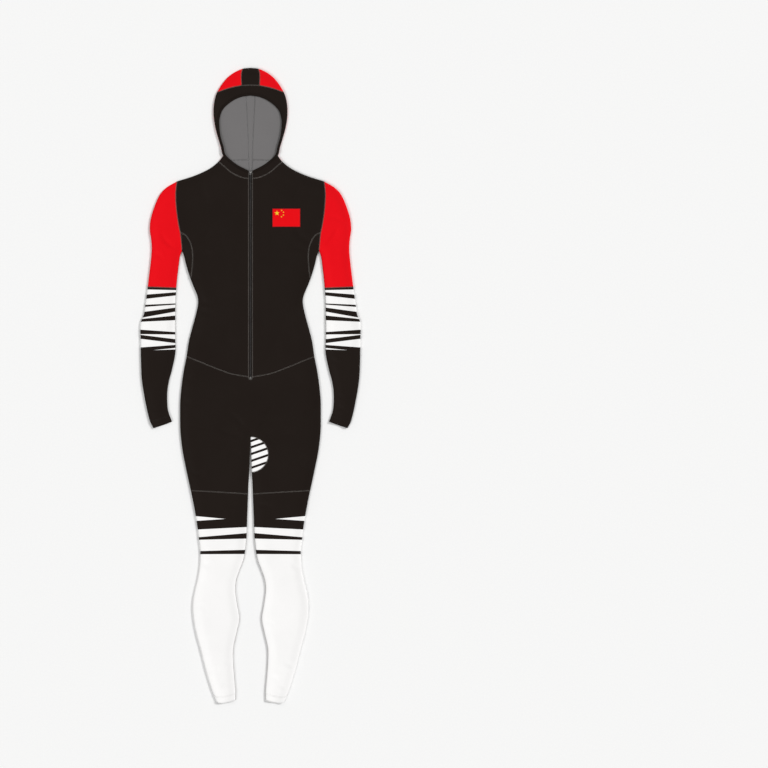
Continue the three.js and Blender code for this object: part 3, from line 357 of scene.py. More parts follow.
def creases(plan, table, trough):
    """Height of the creases of a table over plan points. A trough follows each ridge on one side."""
    height = np.zeros(len(plan))
    for x0, y0, x1, y1, bow, width, high in table:
        start, end = np.array([x0, y0], float), np.array([x1, y1], float)
        run = end - start
        length = np.linalg.norm(run)
        way = run / length
        off = plan - start
        t = off @ way / length
        side = off @ np.array([-way[1], way[0]]) - bow * np.sin(np.pi * np.clip(t, 0, 1))
        fade = np.clip(np.sin(np.pi * np.clip(t, 0, 1)), 0, 1) ** CREASE_FADE
        across = width * (CREASE_START_WIDTH + CREASE_WIDENS * t)
        ridge = np.exp(-(side / across) ** 2)
        dip = np.exp(-((side - DIP_OFF * across) / (DIP_WIDTH * across)) ** 2)
        height += CREASE_RISE * high * fade * (ridge - trough * dip)
    return height


def surface(plan, side, on_fold=None, sewn=None):
    """Outer points of the cloth over plan points, and the way out of it. side is 1 in front, -1 behind.
    on_fold marks points that lie on the fold itself, and sewn those that stop short of the other layer."""
    plan = np.asarray(plan, float)
    distance, way = from_outline(plan)
    if on_fold is not None:
        distance = np.where(on_fold, 0, distance)
    turn = np.arccos(np.clip(1 - distance / FOLD_RADIUS, 0, 1))
    x, y = plan.T
    rolled = FOLD_RADIUS + side * FOLD_RADIUS * np.sin(turn)
    past = np.maximum(0, distance - FOLD_RADIUS)
    settled = ease(past / FOLD_FADE)
    if side > 0:
        flat = FLAT_TOP + zip_lift(x, y)
        height = flat + (2 * FOLD_RADIUS - flat) * np.exp(-(past / FOLD_FADE) ** 2)
        height += creases(plan, FRONT_CREASES, FRONT_DIP) * settled
    else:
        height = np.maximum(0, creases(plan, BACK_CREASES, 0) - BACK_SINK) * settled
    z = np.where(distance < FOLD_RADIUS, rolled, height)
    if sewn is not None:
        limit = FOLD_RADIUS + side * SEAM_GAP / 2
        z = np.where(sewn, side * np.maximum(side * z, side * limit), z)
    lean = np.where(distance < FOLD_RADIUS, np.cos(turn), 0)
    normal = np.stack([-way[:, 0] * lean, -way[:, 1] * lean, side * np.sqrt(1 - lean ** 2)], axis=1)
    return np.stack([x, y, z], axis=1), normal


# Panels as grids

def grid_between(bottom, top, left, right):
    """A grid of plan points between four lines. Rows run from bottom to top, columns from left to right."""
    share = [distances(line) / length_of(line) for line in (bottom, top, left, right)]
    v0 = ((share[2] + share[3]) / 2)[:, None]
    u = share[0][None] * (1 - v0) + share[1][None] * v0
    v = share[2][:, None] * (1 - u) + share[3][:, None] * u
    u, v = u[..., None], v[..., None]
    grid = ((1 - v) * bottom[None] + v * top[None] + (1 - u) * left[:, None] + u * right[:, None]
            - (1 - u) * (1 - v) * bottom[0] - u * (1 - v) * bottom[-1]
            - (1 - u) * v * top[0] - u * v * top[-1])
    grid[0], grid[-1], grid[:, 0], grid[:, -1] = bottom, top, left, right
    return grid


def many(kind, line):
    """The same kind for each step of a line."""
    return [kind] * (len(line) - 1)


def border_of(grid, kinds):
    """A grid's border from its lower left, counter-clockwise, with the kind of each step. kinds has the
    bottom, right, top and left: a word for the whole line or a list of words."""
    rows, columns = grid.shape[0] - 1, grid.shape[1] - 1
    counts = (columns, rows, columns, rows)
    bottom, right, top, left = (
        [kind] * count if isinstance(kind, str) else kind for kind, count in zip(kinds, counts))
    border = [(0, j, bottom[j]) for j in range(columns)]
    border += [(i, columns, right[i]) for i in range(rows)]
    border += [(rows, j, top[j - 1]) for j in range(columns, 0, -1)]
    border += [(i, 0, left[i - 1]) for i in range(rows, 0, -1)]
    return border


def steps_of(border):
    """Each step of a border, as its kind and the grid places of its start and end."""
    return [(kind, (i, j), after[:2]) for (i, j, kind), after in zip(border, border[1:] + border[:1])]


def opened(grid, border):
    """Moves the seamed borders in by half of what a sewn seam stands open."""
    least_turn, least_slide = 0.3, 0.15
    result = grid.copy()
    places = np.array([grid[i, j] for i, j, _ in border])
    ways = np.roll(places, -1, axis=0) - places
    ways /= np.maximum(np.linalg.norm(ways, axis=1), NEXT_TO_NOTHING)[:, None]
    normals = np.stack([-ways[:, 1], ways[:, 0]], axis=1)
    for k, (i, j, kind) in enumerate(border):
        before = border[k - 1][2] == "seam"
        after = kind == "seam"
        if before and after:
            total = normals[k - 1] + normals[k]
            move = SEAM_OPEN / 2 / max(least_turn, 1 + normals[k - 1] @ normals[k]) * total
        elif before or after:
            normal = normals[k - 1] if before else normals[k]
            slide = ways[k] if before else -ways[k - 1]
            move = SEAM_OPEN / 2 / max(least_slide, slide @ normal) * slide
        else:
            continue
        result[i, j] = places[k] + move
    return result


def layer(grid, side, bottom="seam", right="seam", top="seam", left="seam"):
    """One layer of a panel: plan points on a grid, its border, and the points on a fold or a side seam."""
    border = border_of(grid, (bottom, right, top, left))
    marks = {kind: np.zeros(grid.shape[:2], bool) for kind in ("wrap", "side")}
    for kind, start, end in steps_of(border):
        if kind in marks:
            marks[kind][start] = marks[kind][end] = True
    return {"plan": opened(grid, border), "border": border, "side": side, "way": 1,
            "on_fold": marks["wrap"], "sewn": marks["side"] & ~marks["wrap"]}


def flipped(half):
    """The mirror image of a layer at the centre line."""
    return {**half, "plan": half["plan"] * (-1, 1), "way": -half["way"]}


def quads_of(index):
    """The faces of a grid of point numbers."""
    return np.stack([index[:-1, :-1], index[:-1, 1:], index[1:, 1:], index[1:, :-1]], axis=-1).reshape(-1, 4)


def wall_of(name, layers):
    """A closed wall from layers that share their wrapping and joining borders."""
    points, faces, kinds = [], [], []
    count = 0
    for part in layers:
        plan = part["plan"].reshape(-1, 2)
        size = len(plan)
        outer, normal = surface(plan, part["side"], part["on_fold"].ravel(), part["sewn"].ravel())
        points += [outer, outer - CLOTH * normal]
        index = count + np.arange(size).reshape(part["plan"].shape[:2])
        quads = quads_of(index)
        rim = [(index[end], index[start], index[start] + size, index[end] + size)
               for kind, start, end in steps_of(part["border"]) if kind not in ("wrap", "join")]
        sorts = [quads, quads[:, ::-1] + size, np.array(rim)]
        faces += sorts if part["side"] * part["way"] > 0 else [rows[:, ::-1] for rows in sorts]
        kinds += [np.full(len(rows), kind) for kind, rows in zip((FACE, WRONG_SIDE, RIM), sorts)]
        count += 2 * size
    return cloth_object(name, np.vstack(points), np.vstack(faces), np.concatenate(kinds))


def slab(name, top, base, mirrored=False):
    """A closed sheet between two grids of points, one over the other."""
    index = np.arange(top[..., 0].size).reshape(top.shape[:2])
    quads = quads_of(index)
    loop = np.concatenate([index[0, :-1], index[:-1, -1], index[-1, :0:-1], index[:0:-1, 0]])
    after = np.roll(loop, -1)
    rim = np.stack([after, loop, loop + index.size, after + index.size], axis=1)
    faces = np.vstack([quads, quads[:, ::-1] + index.size, rim])
    kinds = np.append(np.full(2 * len(quads), FACE), np.full(len(rim), RIM))
    points = np.vstack([top.reshape(-1, 3), base.reshape(-1, 3)])
    return cloth_object(name, points, faces[:, ::-1] if mirrored else faces, kinds)


def cloth_object(name, points, faces, kinds):
    """A piece of cloth. Points in the same place become one, and faces with no area are left out."""
    keys = np.round(points * WELDS_TO_A_MM).astype(np.int64)
    _, first, where = np.unique(keys, axis=0, return_index=True, return_inverse=True)
    rows, sorts = [], []
    for face, kind in zip(where.ravel()[faces].tolist(), kinds.tolist()):
        corners = [v for k, v in enumerate(face) if v != face[k - 1]]
        if len(set(corners)) == len(corners) > 2:
            rows.append(corners)
            sorts.append(kind)
    piece = mesh_object(name, points[first], rows, [kind != RIM for kind in sorts])
    piece.data.polygons.foreach_set("material_index", [int(kind == WRONG_SIDE) for kind in sorts])
    return piece


def mesh_object(name, points, faces, smooth):
    """An object in metres from points in millimetres. smooth has a value for each face."""
    mesh = bpy.data.meshes.new(name)
    mesh.from_pydata((points * METRES).tolist(), [], faces)
    mesh.polygons.foreach_set("use_smooth", smooth)
    mesh.update()
    return added(name, mesh)


def added(name, data):
    """A new object in the scene."""
    piece = bpy.data.objects.new(name, data)
    bpy.context.scene.collection.objects.link(piece)
    return piece


def both(name, layers):
    """The same piece on the wearer's left and right."""
    return [wall_of(f"{name}_left_cloth", layers),
            wall_of(f"{name}_right_cloth", [flipped(part) for part in layers])]


# Body panels

# A seam that ends in a point of the panel stops short of it by this
TIP = 1.5
STRIP_NECK = np.array(CURVES["backStripEdge"][-1])
STRIP_TAIL = straight(STRIP_NECK, (STRIP_TIP_HALF, STRIP_TIP_Y))
SHOULDER_TOP_Y = CURVES["armhole"][0][1]
NECK_FOOT_Y = CURVES["shoulder"][0][1]


def without_tip(line, steps):
    """A line in even steps, that stops short of its end."""
    return along(line, np.linspace(0, length_of(line) - TIP, steps + 1))


PANEL_SEAM_STEPS = 59
FRONT_PANEL_SEAM = without_tip(LINES["frontPanelSeam"], PANEL_SEAM_STEPS)
BACK_PANEL_SEAM = without_tip(LINES["backPanelSeam"], PANEL_SEAM_STEPS)
ARMHOLE_LOW = stretch(LINES["armhole"], ARMPIT_Y, FRONT_PANEL_TOP_Y)
ARMHOLE_MIDDLE = stretch(LINES["armhole"], FRONT_PANEL_TOP_Y, BACK_PANEL_TOP_Y)
ARMHOLE_HIGH = stretch(LINES["armhole"], BACK_PANEL_TOP_Y, SHOULDER_TOP_Y)
ARMHOLE = joined(ARMHOLE_LOW, ARMHOLE_MIDDLE, ARMHOLE_HIGH)
SHOULDER_SEAM = stretch(LINES["shoulder"], NECK_SIDE_Y, SHOULDER_TOP_Y)
HOOD_SIDE_SEAM_LOW = stretch(LINES["shoulder"], NECK_FOOT_Y, NECK_SIDE_Y)
PAST_ZIP = LINES["waistSeam"][:, 0] > ZIP_HALF + 1
WAIST_FROM_ZIP = joined(straight((ZIP_HALF, WAIST_ZIP_Y)), LINES["waistSeam"][PAST_ZIP])


def torso_edges(tip_y, panel_seam, armhole, neck_seam):
    """The right and the top edge of the front or the back, each followed by its kinds."""
    side = stretch(LINES["torsoSide"], WAIST_SIDE_Y, tip_y)
    side_points = spaced(side, steps_for(side))
    high = spaced(armhole, steps_for(armhole) + MORE_AT_FOLD, at_end=True)
    right = joined(side_points, through(panel_seam[::-1]), high)
    right_kinds = many("side", side_points) + ["seam"] * (len(right) - len(side_points))
    neck = through(neck_seam)
    shoulder = spaced(SHOULDER_SEAM, steps_for(SHOULDER_SEAM))
    return right, right_kinds, joined(neck, shoulder), many("seam", neck) + many("side", shoulder)


def front_panel():
    right, right_kinds, top, top_kinds = torso_edges(
        FRONT_PANEL_TIP_Y, LINES["frontPanelSeam"], joined(ARMHOLE_MIDDLE, ARMHOLE_HIGH),
        LINES["frontNeckSeam"])
    bottom = spaced(WAIST_FROM_ZIP, len(top) - 1, at_end=True)
    zip_edge = straight((ZIP_HALF, WAIST_ZIP_Y), CURVES["frontNeckSeam"][0])
    left = spaced(zip_edge, len(right) - 1, at_end=True)
    return both("front", [layer(grid_between(bottom, top, left, right), 1, right=right_kinds, top=top_kinds)])


def back_panel():
    """The back is one panel with the end of the hood's strip let into its top."""
    right, right_kinds, top, top_kinds = torso_edges(
        BACK_PANEL_TIP_Y, LINES["backPanelSeam"], ARMHOLE_HIGH, LINES["backNeckSeam"])
    bottom = spaced(LINES["waistSeam"], len(top) - 1, at_end=True)
    centre = straight((0, CURVES["waistSeam"][0][1]), (0, STRIP_TIP_Y))
    centre_points = spaced(centre, len(right) - 1 - NOTCH_STEPS)
    left = joined(centre_points, spaced(straight((0, STRIP_TIP_Y), STRIP_NECK), NOTCH_STEPS))
    left_kinds = many("join", centre_points) + ["seam"] * NOTCH_STEPS
    half = layer(grid_between(bottom, top, left, right), -1,
                 right=right_kinds, top=top_kinds, left=left_kinds)
    return wall_of("back_body_cloth", [half, flipped(half)])


def side_panel():
    """The underarm panel goes round the torso's side, from the front seam to the back seam."""
    front_rows, rest_rows, columns = 30, 11, 26
    front_y, back_y = FRONT_PANEL_SEAM[-1][1], BACK_PANEL_SEAM[-1][1]
    fold_front = spaced(stretch(LINES["torsoSide"], ARMPIT_Y, front_y), front_rows)
    fold_back = joined(fold_front, spaced(stretch(LINES["torsoSide"], front_y, back_y), rest_rows))

    def part(side, fold, seam, armhole, kinds):
        bottom = spaced(straight(seam[-1], fold[-1]), columns)
        top = spaced(armhole[::-1], columns, at_end=True)
        grid = grid_between(bottom, top, spaced(seam, len(fold) - 1)[::-1], fold[::-1])
        return layer(grid, side, right=kinds)

    return both("side_panel", [
        part(1, fold_front, FRONT_PANEL_SEAM, ARMHOLE_LOW, "wrap"),
        part(-1, fold_back, BACK_PANEL_SEAM, joined(ARMHOLE_LOW, ARMHOLE_MIDDLE),
             ["side"] * rest_rows + ["wrap"] * front_rows)])


# Sleeves and legs

def tube(name, bottom, top, left, right, bottom_kind):
    """A flat tube between a bottom and a top row, with its folds on the two side lines."""
    rows = max(steps_for(left), steps_for(right))
    grid = grid_between(bottom, top, spaced(left, rows), spaced(right, rows))
    return both(name, [layer(grid, side, bottom=bottom_kind, right="wrap", left="wrap") for side in (1, -1)])


def across_tube(line, columns):
    return spaced(line, columns, at_start=True, at_end=True)


def upper_sleeve():
    more_at_folds = 8
    columns = steps_for(ARMHOLE) + more_at_folds
    return tube("upper_sleeve", across_tube(LINES["sleeveJoin"], columns), across_tube(ARMHOLE, columns),
                stretch(LINES["sleeveInner"], ARMPIT_Y, SLEEVE_JOIN_INNER_Y)[::-1],
                stretch(LINES["sleeveOuter"], SHOULDER_TOP_Y, SLEEVE_JOIN_OUTER_Y)[::-1], "seam")


def lower_sleeve():
    columns = 34
    inner_end, outer_end = CURVES["cuff"][0][1], CURVES["cuff"][-1][1]
    return tube("lower_sleeve", across_tube(LINES["cuff"], columns),
                across_tube(LINES["sleeveJoin"], columns),
                stretch(LINES["sleeveInner"], SLEEVE_JOIN_INNER_Y, inner_end)[::-1],
                stretch(LINES["sleeveOuter"], SLEEVE_JOIN_OUTER_Y, outer_end)[::-1], "edge")


def lower_leg():
    columns = 46
    return tube("lower_leg", across_tube(LINES["hem"], columns), across_tube(LINES["kneeSeam"], columns),
                LINES["legInner"][::-1], LINES["legOuter"][::-1], "edge")


# Shorts and thigh patch

def patch_turns():
    """The angles, in degrees, at which the half disc's rim meets the inner thigh at its top and foot."""
    thigh = LINES["innerThigh"][::-1]
    across = [np.interp(PATCH_CENTRE_Y + way * PATCH_RADIUS, thigh[:, 1], thigh[:, 0]) for way in (1, -1)]
    top, foot = np.degrees(np.arcsin(np.array(across) / PATCH_RADIUS))
    return 90 - top, foot - 90


def patch_rim():
    """The half disc's rim from its top to its foot, ending on the inner thigh."""
    return arc((0, PATCH_CENTRE_Y), PATCH_RADIUS, *patch_turns(), sides=64)


def shorts_half(side, with_patch):
    """Half of the shorts in one layer, with a place for the thigh patch and the zip's lower end."""
    end_steps, waist_steps, centre_steps = 8, 56, 42
    above_patch, round_patch, below_patch = 2, 36, 14
    if side > 0:
        end = arc((0, ZIP_BOTTOM + ZIP_HALF), ZIP_HALF, -90, 0, sides=10)
        top = joined(spaced(end, end_steps), spaced(WAIST_FROM_ZIP, waist_steps, at_end=True))
        top_y = ZIP_BOTTOM
    else:
        top = spaced(LINES["waistSeam"], end_steps + waist_steps, at_end=True)
        top_y = CURVES["waistSeam"][0][1]
    centre = spaced(straight((0, top_y), (0, CROTCH_Y)), centre_steps, at_end=True)
    if with_patch:
        rim = patch_rim()
        high = stretch(LINES["innerThigh"], CROTCH_Y, rim[0][1])
        low = stretch(LINES["innerThigh"], rim[-1][1], KNEE_INNER_Y)
        thigh = joined(spaced(high, above_patch), spaced(rim, round_patch), spaced(low, below_patch))
        thigh_kinds = ["side"] * above_patch + ["seam"] * round_patch + ["side"] * below_patch
    else:
        thigh = spaced(LINES["innerThigh"], above_patch + round_patch + below_patch)
        thigh_kinds = many("side", thigh)
    left = joined(centre, thigh)[::-1]
    right = spaced(LINES["hip"], len(left) - 1)[::-1]
    bottom = across_tube(LINES["kneeSeam"], len(top) - 1)
    return layer(grid_between(bottom, top, left, right), side, right="side",
                 left=thigh_kinds[::-1] + many("join", centre))


def shorts(name, side):
    return wall_of(name, [shorts_half(side, True), flipped(shorts_half(side, False))])


def thigh_patch():
    """The round patch is let into the wearer's left thigh and folds over the inseam."""
    rows, columns = 40, 20
    turn_short, least_width = 0.8, 0.4
    top_turn, foot_turn = patch_turns()
    radius = PATCH_RADIUS - SEAM_OPEN / 2
    edge = arc((0, PATCH_CENTRE_Y), radius, top_turn - turn_short, foot_turn + turn_short, rows)[::-1]
    fold = spaced(stretch(LINES["innerThigh"], edge[-1][1], edge[0][1]), rows)[::-1]
    edge[:, 0] = np.maximum(edge[:, 0], fold[:, 0] + least_width)
    bottom, top = (spaced(straight(fold[k], edge[k]), columns, at_start=True) for k in (0, -1))
    grid = grid_between(bottom, top, fold, edge)
    return wall_of("thigh_patch_cloth", [
        layer(grid, side, bottom="edge", right="edge", top="edge", left="wrap") for side in (1, -1)])


# Hood

CROWN_EDGE_Y = CURVES["backStripEdge"][0][1]
# Where the rows of the hood's front lie, from its outer seam to the face opening
HOOD_FRONT_SHARES = (0, 0.012, 0.03, 0.06, 0.1, 0.15, 0.22, 0.3, 0.4, 0.5, 0.6, 0.7, 0.8, 0.88, 0.94, 1)


def hood_side():
    """A side of the hood goes over the crown, from the brow band to the back of the neck."""
    columns = 28
    crown_end_y = BAND_SIDE_Y + TIP
    on_the_edge = 0.01
    brow_line = LINES["browEdge"][LINES["browEdge"][:, 0] >= HALF_STRIP_FRONT - on_the_edge]
    brow = without_tip(brow_line, columns)
    crown = spaced(stretch(LINES["hoodSide"], CROWN_EDGE_Y, crown_end_y), columns)
    strip = spaced(LINES["frontStripEdge"], CROWN_STEPS, at_end=True)
    end = spaced(straight(brow[-1], crown[-1]), CROWN_STEPS, at_end=True)
    front = layer(grid_between(brow, crown, strip, end), 1, top="wrap")
    side_line = joined(stretch(LINES["hoodSide"], crown_end_y, NECK_FOOT_Y), HOOD_SIDE_SEAM_LOW)
    neck = spaced(LINES["backNeckSeam"], columns, at_end=True)
    back_strip = spaced(LINES["backStripEdge"], HOOD_STEPS, at_start=True)[::-1]
    side = spaced(side_line, HOOD_STEPS)[::-1]
    back = layer(grid_between(neck, crown, back_strip, side), -1, right="side", top="wrap")
    return both("hood", [front, back])


def hood_centre():
    """The black strip runs from the brow band over the crown to a point below the back of the neck."""
    columns = 6
    crown_top, tip_centre = (0, CROWN_Y), (0, STRIP_TIP_Y)
    crown = spaced(stretch(LINES["hoodSide"], CROWN_Y, CROWN_EDGE_Y), columns)
    brow = spaced(straight((0, BROW_Y), CURVES["frontStripEdge"][0]), columns)
    middle = spaced(straight(brow[0], crown_top), CROWN_STEPS, at_end=True)
    strip = spaced(LINES["frontStripEdge"], CROWN_STEPS, at_end=True)
    front = layer(grid_between(brow, crown, middle, strip), 1, top="wrap", left="join")
    edge = joined(spaced(LINES["backStripEdge"], HOOD_STEPS, at_start=True), spaced(STRIP_TAIL, NOTCH_STEPS))
    tip = spaced(straight(tip_centre, edge[-1]), columns)
    middle = spaced(straight(crown_top, tip_centre), len(edge) - 1, at_start=True)[::-1]
    back = layer(grid_between(tip, crown, middle, edge[::-1]), -1, top="wrap", left="join")
    return wall_of("hood_centre_cloth", [front, back, flipped(front), flipped(back)])


def hood_front():
    """The brow band, the cheeks and the collar are one piece round the face opening."""
    collar_y, cheek_y, brow_y = 566, 577, 700
    # Columns: outer line, heights on the face opening, steps and kind of the outer line
    parts = [
        (LINES["frontNeckSeam"], ZIP_TOP, collar_y, 22, "seam"),
        (HOOD_SIDE_SEAM_LOW[::-1], collar_y, cheek_y, 5, "side"),
        (stretch(LINES["hoodSide"], NECK_FOOT_Y, BAND_SIDE_Y), cheek_y, brow_y, 42, "side"),
        (LINES["browEdge"][::-1], brow_y, OPENING_TOP_Y, 24, "seam"),
    ]
    outer = joined(*[spaced(line, count) for line, _, _, count, _ in parts])
    inner = joined(*[spaced(stretch(LINES["faceOpening"], low, high), count)
                     for _, low, high, count, _ in parts])
    shares = np.array(HOOD_FRONT_SHARES)[:, None, None]
    grid = (inner * shares + outer * (1 - shares))[::-1, ::-1]
    kinds = [kind for *_, count, kind in parts for _ in range(count)]
    half = layer(grid, 1, bottom="edge", top=kinds[::-1], left="join")
    return wall_of("hood_front_cloth", [half, flipped(half)])


# Sewing

# Flat seams. Columns: half width, step and the thread's radius
BODY_STITCH = (1.15, 3.0, 0.28)
SIDE_STITCH = (0.9, 3.4, 0.26)
ZIP_STITCH = (0.6, 2.6, 0.26)
PATCH_STITCH = (1.0, 2.4, 0.26)
INSIDE_STITCH = (0.9, 1.6, 0.2)
# The plain rows at cuff and hem. Columns: step and the thread's radius
HEM_STITCH = (3.0, 0.22)
PRESSED = 0.25
ZIP_STITCH_IN = 0.85
INSIDE_TOP_Y = 770
INSIDE_HALF = 76
HEM_ROWS = {"a": 15, "b": 17.6}
ALONG_A_SEAM = 1.5
ALONG_A_SIDE = 2.0
ALONG_THE_BINDING = 3.0

# Threads of one stitch. Columns: along in shares of its step, across in shares of its half width, and up
NEEDLE_PATH = [(0.12, 1, 0), (0.3, 1, 0.24), (0.7, 1, 0.24), (0.88, 1, 0)]
LOOPER_PATHS = [[(0, -1, 0.12), (0.25, 0, 0.3), (0.5, 1, 0.12)],
                [(0.5, 1, 0.12), (0.75, 0, 0.22), (1, -1, 0.12)]]
LOOPER_SHARE = 0.85
PLAIN_PATH = [(0.08, 0, -0.05), (0.28, 0, 0.22), (0.72, 0, 0.22), (0.92, 0, -0.05)]


def seam_run(line, side, at_start=False, at_end=False):
    """Places and ways out along a seam in one layer, close together where it goes over a fold."""
    count = max(4, round(length_of(line) / ALONG_A_SEAM)) + len(FOLD_STEPS) * (at_start + at_end)
    plan = spaced(np.asarray(line, float), count, at_start, at_end)
    return surface(plan, side)


def round_tube(line):
    """A closed seam run round a flat tube: in front from fold to fold, and back behind."""
    front = seam_run(line, 1, True, True)
    back = seam_run(line[::-1], -1, True, True)
    return tuple(np.vstack([a, b[1:-1], a[:1]]) for a, b in zip(front, back))


def tube_faces(rings, sides):
    """The faces of a tube of rings of points, with its two ends."""
    faces = [(k * sides + a, k * sides + b, (k + 1) * sides + b, (k + 1) * sides + a)
             for k in range(rings - 1) for a, b in zip(range(sides), [*range(1, sides), 0])]
    return faces + [tuple(reversed(range(sides))), tuple(range((rings - 1) * sides, rings * sides))]


def units(vectors):
    """The same directions with length one."""
    return vectors / np.linalg.norm(vectors, axis=1)[:, None]


def bar(path, radius, sides=5, ends=0.45):
    """A thin thread along a path of along, across and up values, as points and faces."""
    path = np.array(path, float)
    points = []
    for k, (place, way) in enumerate(zip(path, units(np.gradient(path, axis=0)))):
        side = np.cross(way, (0, 0, 1))
        side /= np.linalg.norm(side)
        up = np.cross(side, way)
        size = radius * (ends if k in (0, len(path) - 1) else 1)
        for turn in np.arange(sides) * 2 * math.pi / sides:
            points.append(place + size * (math.cos(turn) * side + math.sin(turn) * up))
    return np.array(points), tube_faces(len(path), sides)


def together(parts):
    """Several pairs of points and faces as one pair."""
    points, faces, count = [], [], 0
    for places, sides in parts:
        points.append(places)
        faces += [tuple(v + count for v in face) for face in sides]
        count += len(places)
    return np.vstack(points), faces


def thread_path(path, pitch, half, way=1):
    return [(share * pitch, way * across * half, up) for share, across, up in path]


def cover_stitch(half, pitch, thread):
    """A step of a flat seam and its length: a needle thread at each side and a looper thread across."""
    needles = [bar(thread_path(NEEDLE_PATH, pitch, half, way), thread, sides=4) for way in (-1, 1)]
    loopers = [bar(thread_path(path, pitch, half), thread * LOOPER_SHARE, sides=4) for path in LOOPER_PATHS]
    return together([*needles, *loopers]), pitch


def plain_stitch(pitch, thread):
    """A step of a plain row and its length."""
    return bar(thread_path(PLAIN_PATH, pitch, 0), thread), pitch


def stitched(runs, shape, pitch):
    """Points and faces of a row of stitches along each run. Threads under the suit are pressed flat."""
    places, sides = shape
    reach = 0.4
    parts = []
    for line, normals in runs:
        run = distances(line)
        steps = max(1, round(run[-1] / pitch))
        size = run[-1] / steps
        starts = np.arange(steps) * size
        where = np.clip(starts[:, None] + places[None, :, 0] * size / pitch, 0, run[-1]).ravel()
        out = units(np.column_stack([np.interp(where, run, normals[:, k]) for k in range(3)]))
        back, ahead = (along(line, np.clip(where + way * reach, 0, run[-1])) for way in (-1, 1))
        across = units(np.cross(out, units(ahead - back)))
        local = np.tile(places, (steps, 1))
        points = along(line, where) + across * local[:, 1:2] + out * local[:, 2:3]
        points[:, 2] *= np.where(points[:, 2] < 0, PRESSED, 1)
        parts += [(stitch, sides) for stitch in np.split(points, steps)]
    return together(parts)


def thread_object(name, points, faces):
    """One joined mesh with smooth sides and flat ends."""
    return mesh_object(name, points, faces, [len(face) == 4 for face in faces])


def side_run(line):
    """A seam on the outline itself, halfway up the roll."""
    plan = spaced(line, steps_for(line, ALONG_A_SIDE))
    _, way = from_outline(plan)
    places = np.column_stack([plan, np.full(len(plan), FOLD_RADIUS)])
    return places, np.column_stack([-way, np.zeros(len(plan))])


def upright(places):
    """A way straight up for each place."""
    return np.tile([0.0, 0.0, 1.0], (len(places), 1))


def body_seams(way):
    """The flat seams of one half. way is 1 on the wearer's left and -1 on the right."""
    over = np.array([way, 1])
    tubes = (ARMHOLE, LINES["sleeveJoin"], LINES["kneeSeam"])
    to_a_fold = (
        (WAIST_FROM_ZIP, 1), (LINES["waistSeam"], -1), (LINES["frontNeckSeam"], 1),
        (LINES["backNeckSeam"], -1), (LINES["browEdge"], 1), (LINES["frontStripEdge"], 1))
    return [
        *[round_tube(line * over) for line in tubes],
        seam_run(FRONT_PANEL_SEAM * over, 1),
        seam_run(BACK_PANEL_SEAM * over, -1),
        *[seam_run(line * over, side, at_end=True) for line, side in to_a_fold],
        seam_run(LINES["backStripEdge"] * over, -1, at_start=True),
        seam_run(STRIP_TAIL * over, -1),
    ]


def hem_rows():
    """Two plain rows round each cuff and hem, set in from the edge."""
    rows = []
    for name, left, right in (("cuff", "sleeveInner", "sleeveOuter"), ("hem", "legInner", "legOuter")):
        for mark, inset in HEM_ROWS.items():
            rows.append((name, mark, hem_line(LINES[name], LINES[left], LINES[right], inset)))
    return rows


def hem_line(hem, left, right, inset):
    """A line across a tube, at an inset up from its edge, from fold to fold."""
    left_up, right_up = left[::-1], right[::-1]
    start = along(left_up, [inset])[0]
    end = along(right_up, [inset])[0]
    share = (distances(hem) / length_of(hem))[:, None]
    return hem + (start - hem[0]) * (1 - share) + (end - hem[-1]) * share


def side_seams(way):
    """The closing seams on the outline: hood, shoulder, torso, hip, thigh, inner leg and inner sleeve."""
    torso = stretch(LINES["torsoSide"], BACK_PANEL_TIP_Y, WAIST_SIDE_Y)
    hood = joined(stretch(LINES["hoodSide"], BAND_SIDE_Y, NECK_FOOT_Y), HOOD_SIDE_SEAM_LOW)
    names = ("hip", "innerThigh", "legInner", "sleeveInner")
    lines = [hood, SHOULDER_SEAM, torso, *[LINES[name] for name in names]]
    return [side_run(line * np.array([way, 1])) for line in lines]


def inside_seams(way):
    """The wrong side of the seams in the back of the hood, which shows through the face opening."""
    runs = []
    for line in (joined(STRIP_TAIL[::-1], LINES["backStripEdge"][::-1]), LINES["backNeckSeam"]):
        inside = line[(line[:, 1] < INSIDE_TOP_Y) & (line[:, 0] < INSIDE_HALF)] * (way, 1)
        plan = spaced(inside, steps_for(inside, ALONG_A_SEAM))
        runs.append((np.column_stack([plan, np.full(len(plan), CLOTH)]), upright(plan)))
    return runs


def zip_rows():
    """Topstitching along both sides of the zip and round its lower end."""
    below_the_top = 4
    half = ZIP_HALF + ZIP_STITCH_IN
    right = straight((half, ZIP_TOP - below_the_top), (half, ZIP_BOTTOM + ZIP_HALF))
    end = arc((0, ZIP_BOTTOM + ZIP_HALF), half, 0, -180, sides=16)
    return [seam_run(joined(right, end, right[::-1] * (-1, 1)), 1)]


# The bound edge of the face opening. Columns: onto the cloth from its edge, and up from its outer face
BINDING = [(6.2, 0.02), (6.0, 0.38), (3.4, 0.5), (0.9, 0.5), (0.0, 0.36), (-0.45, -0.1), (-0.5, -0.55),
           (-0.2, -1.05), (0.8, -1.3), (6.0, -1.3), (6.2, -0.98)]
BINDING_LEAST_IN = 0.3


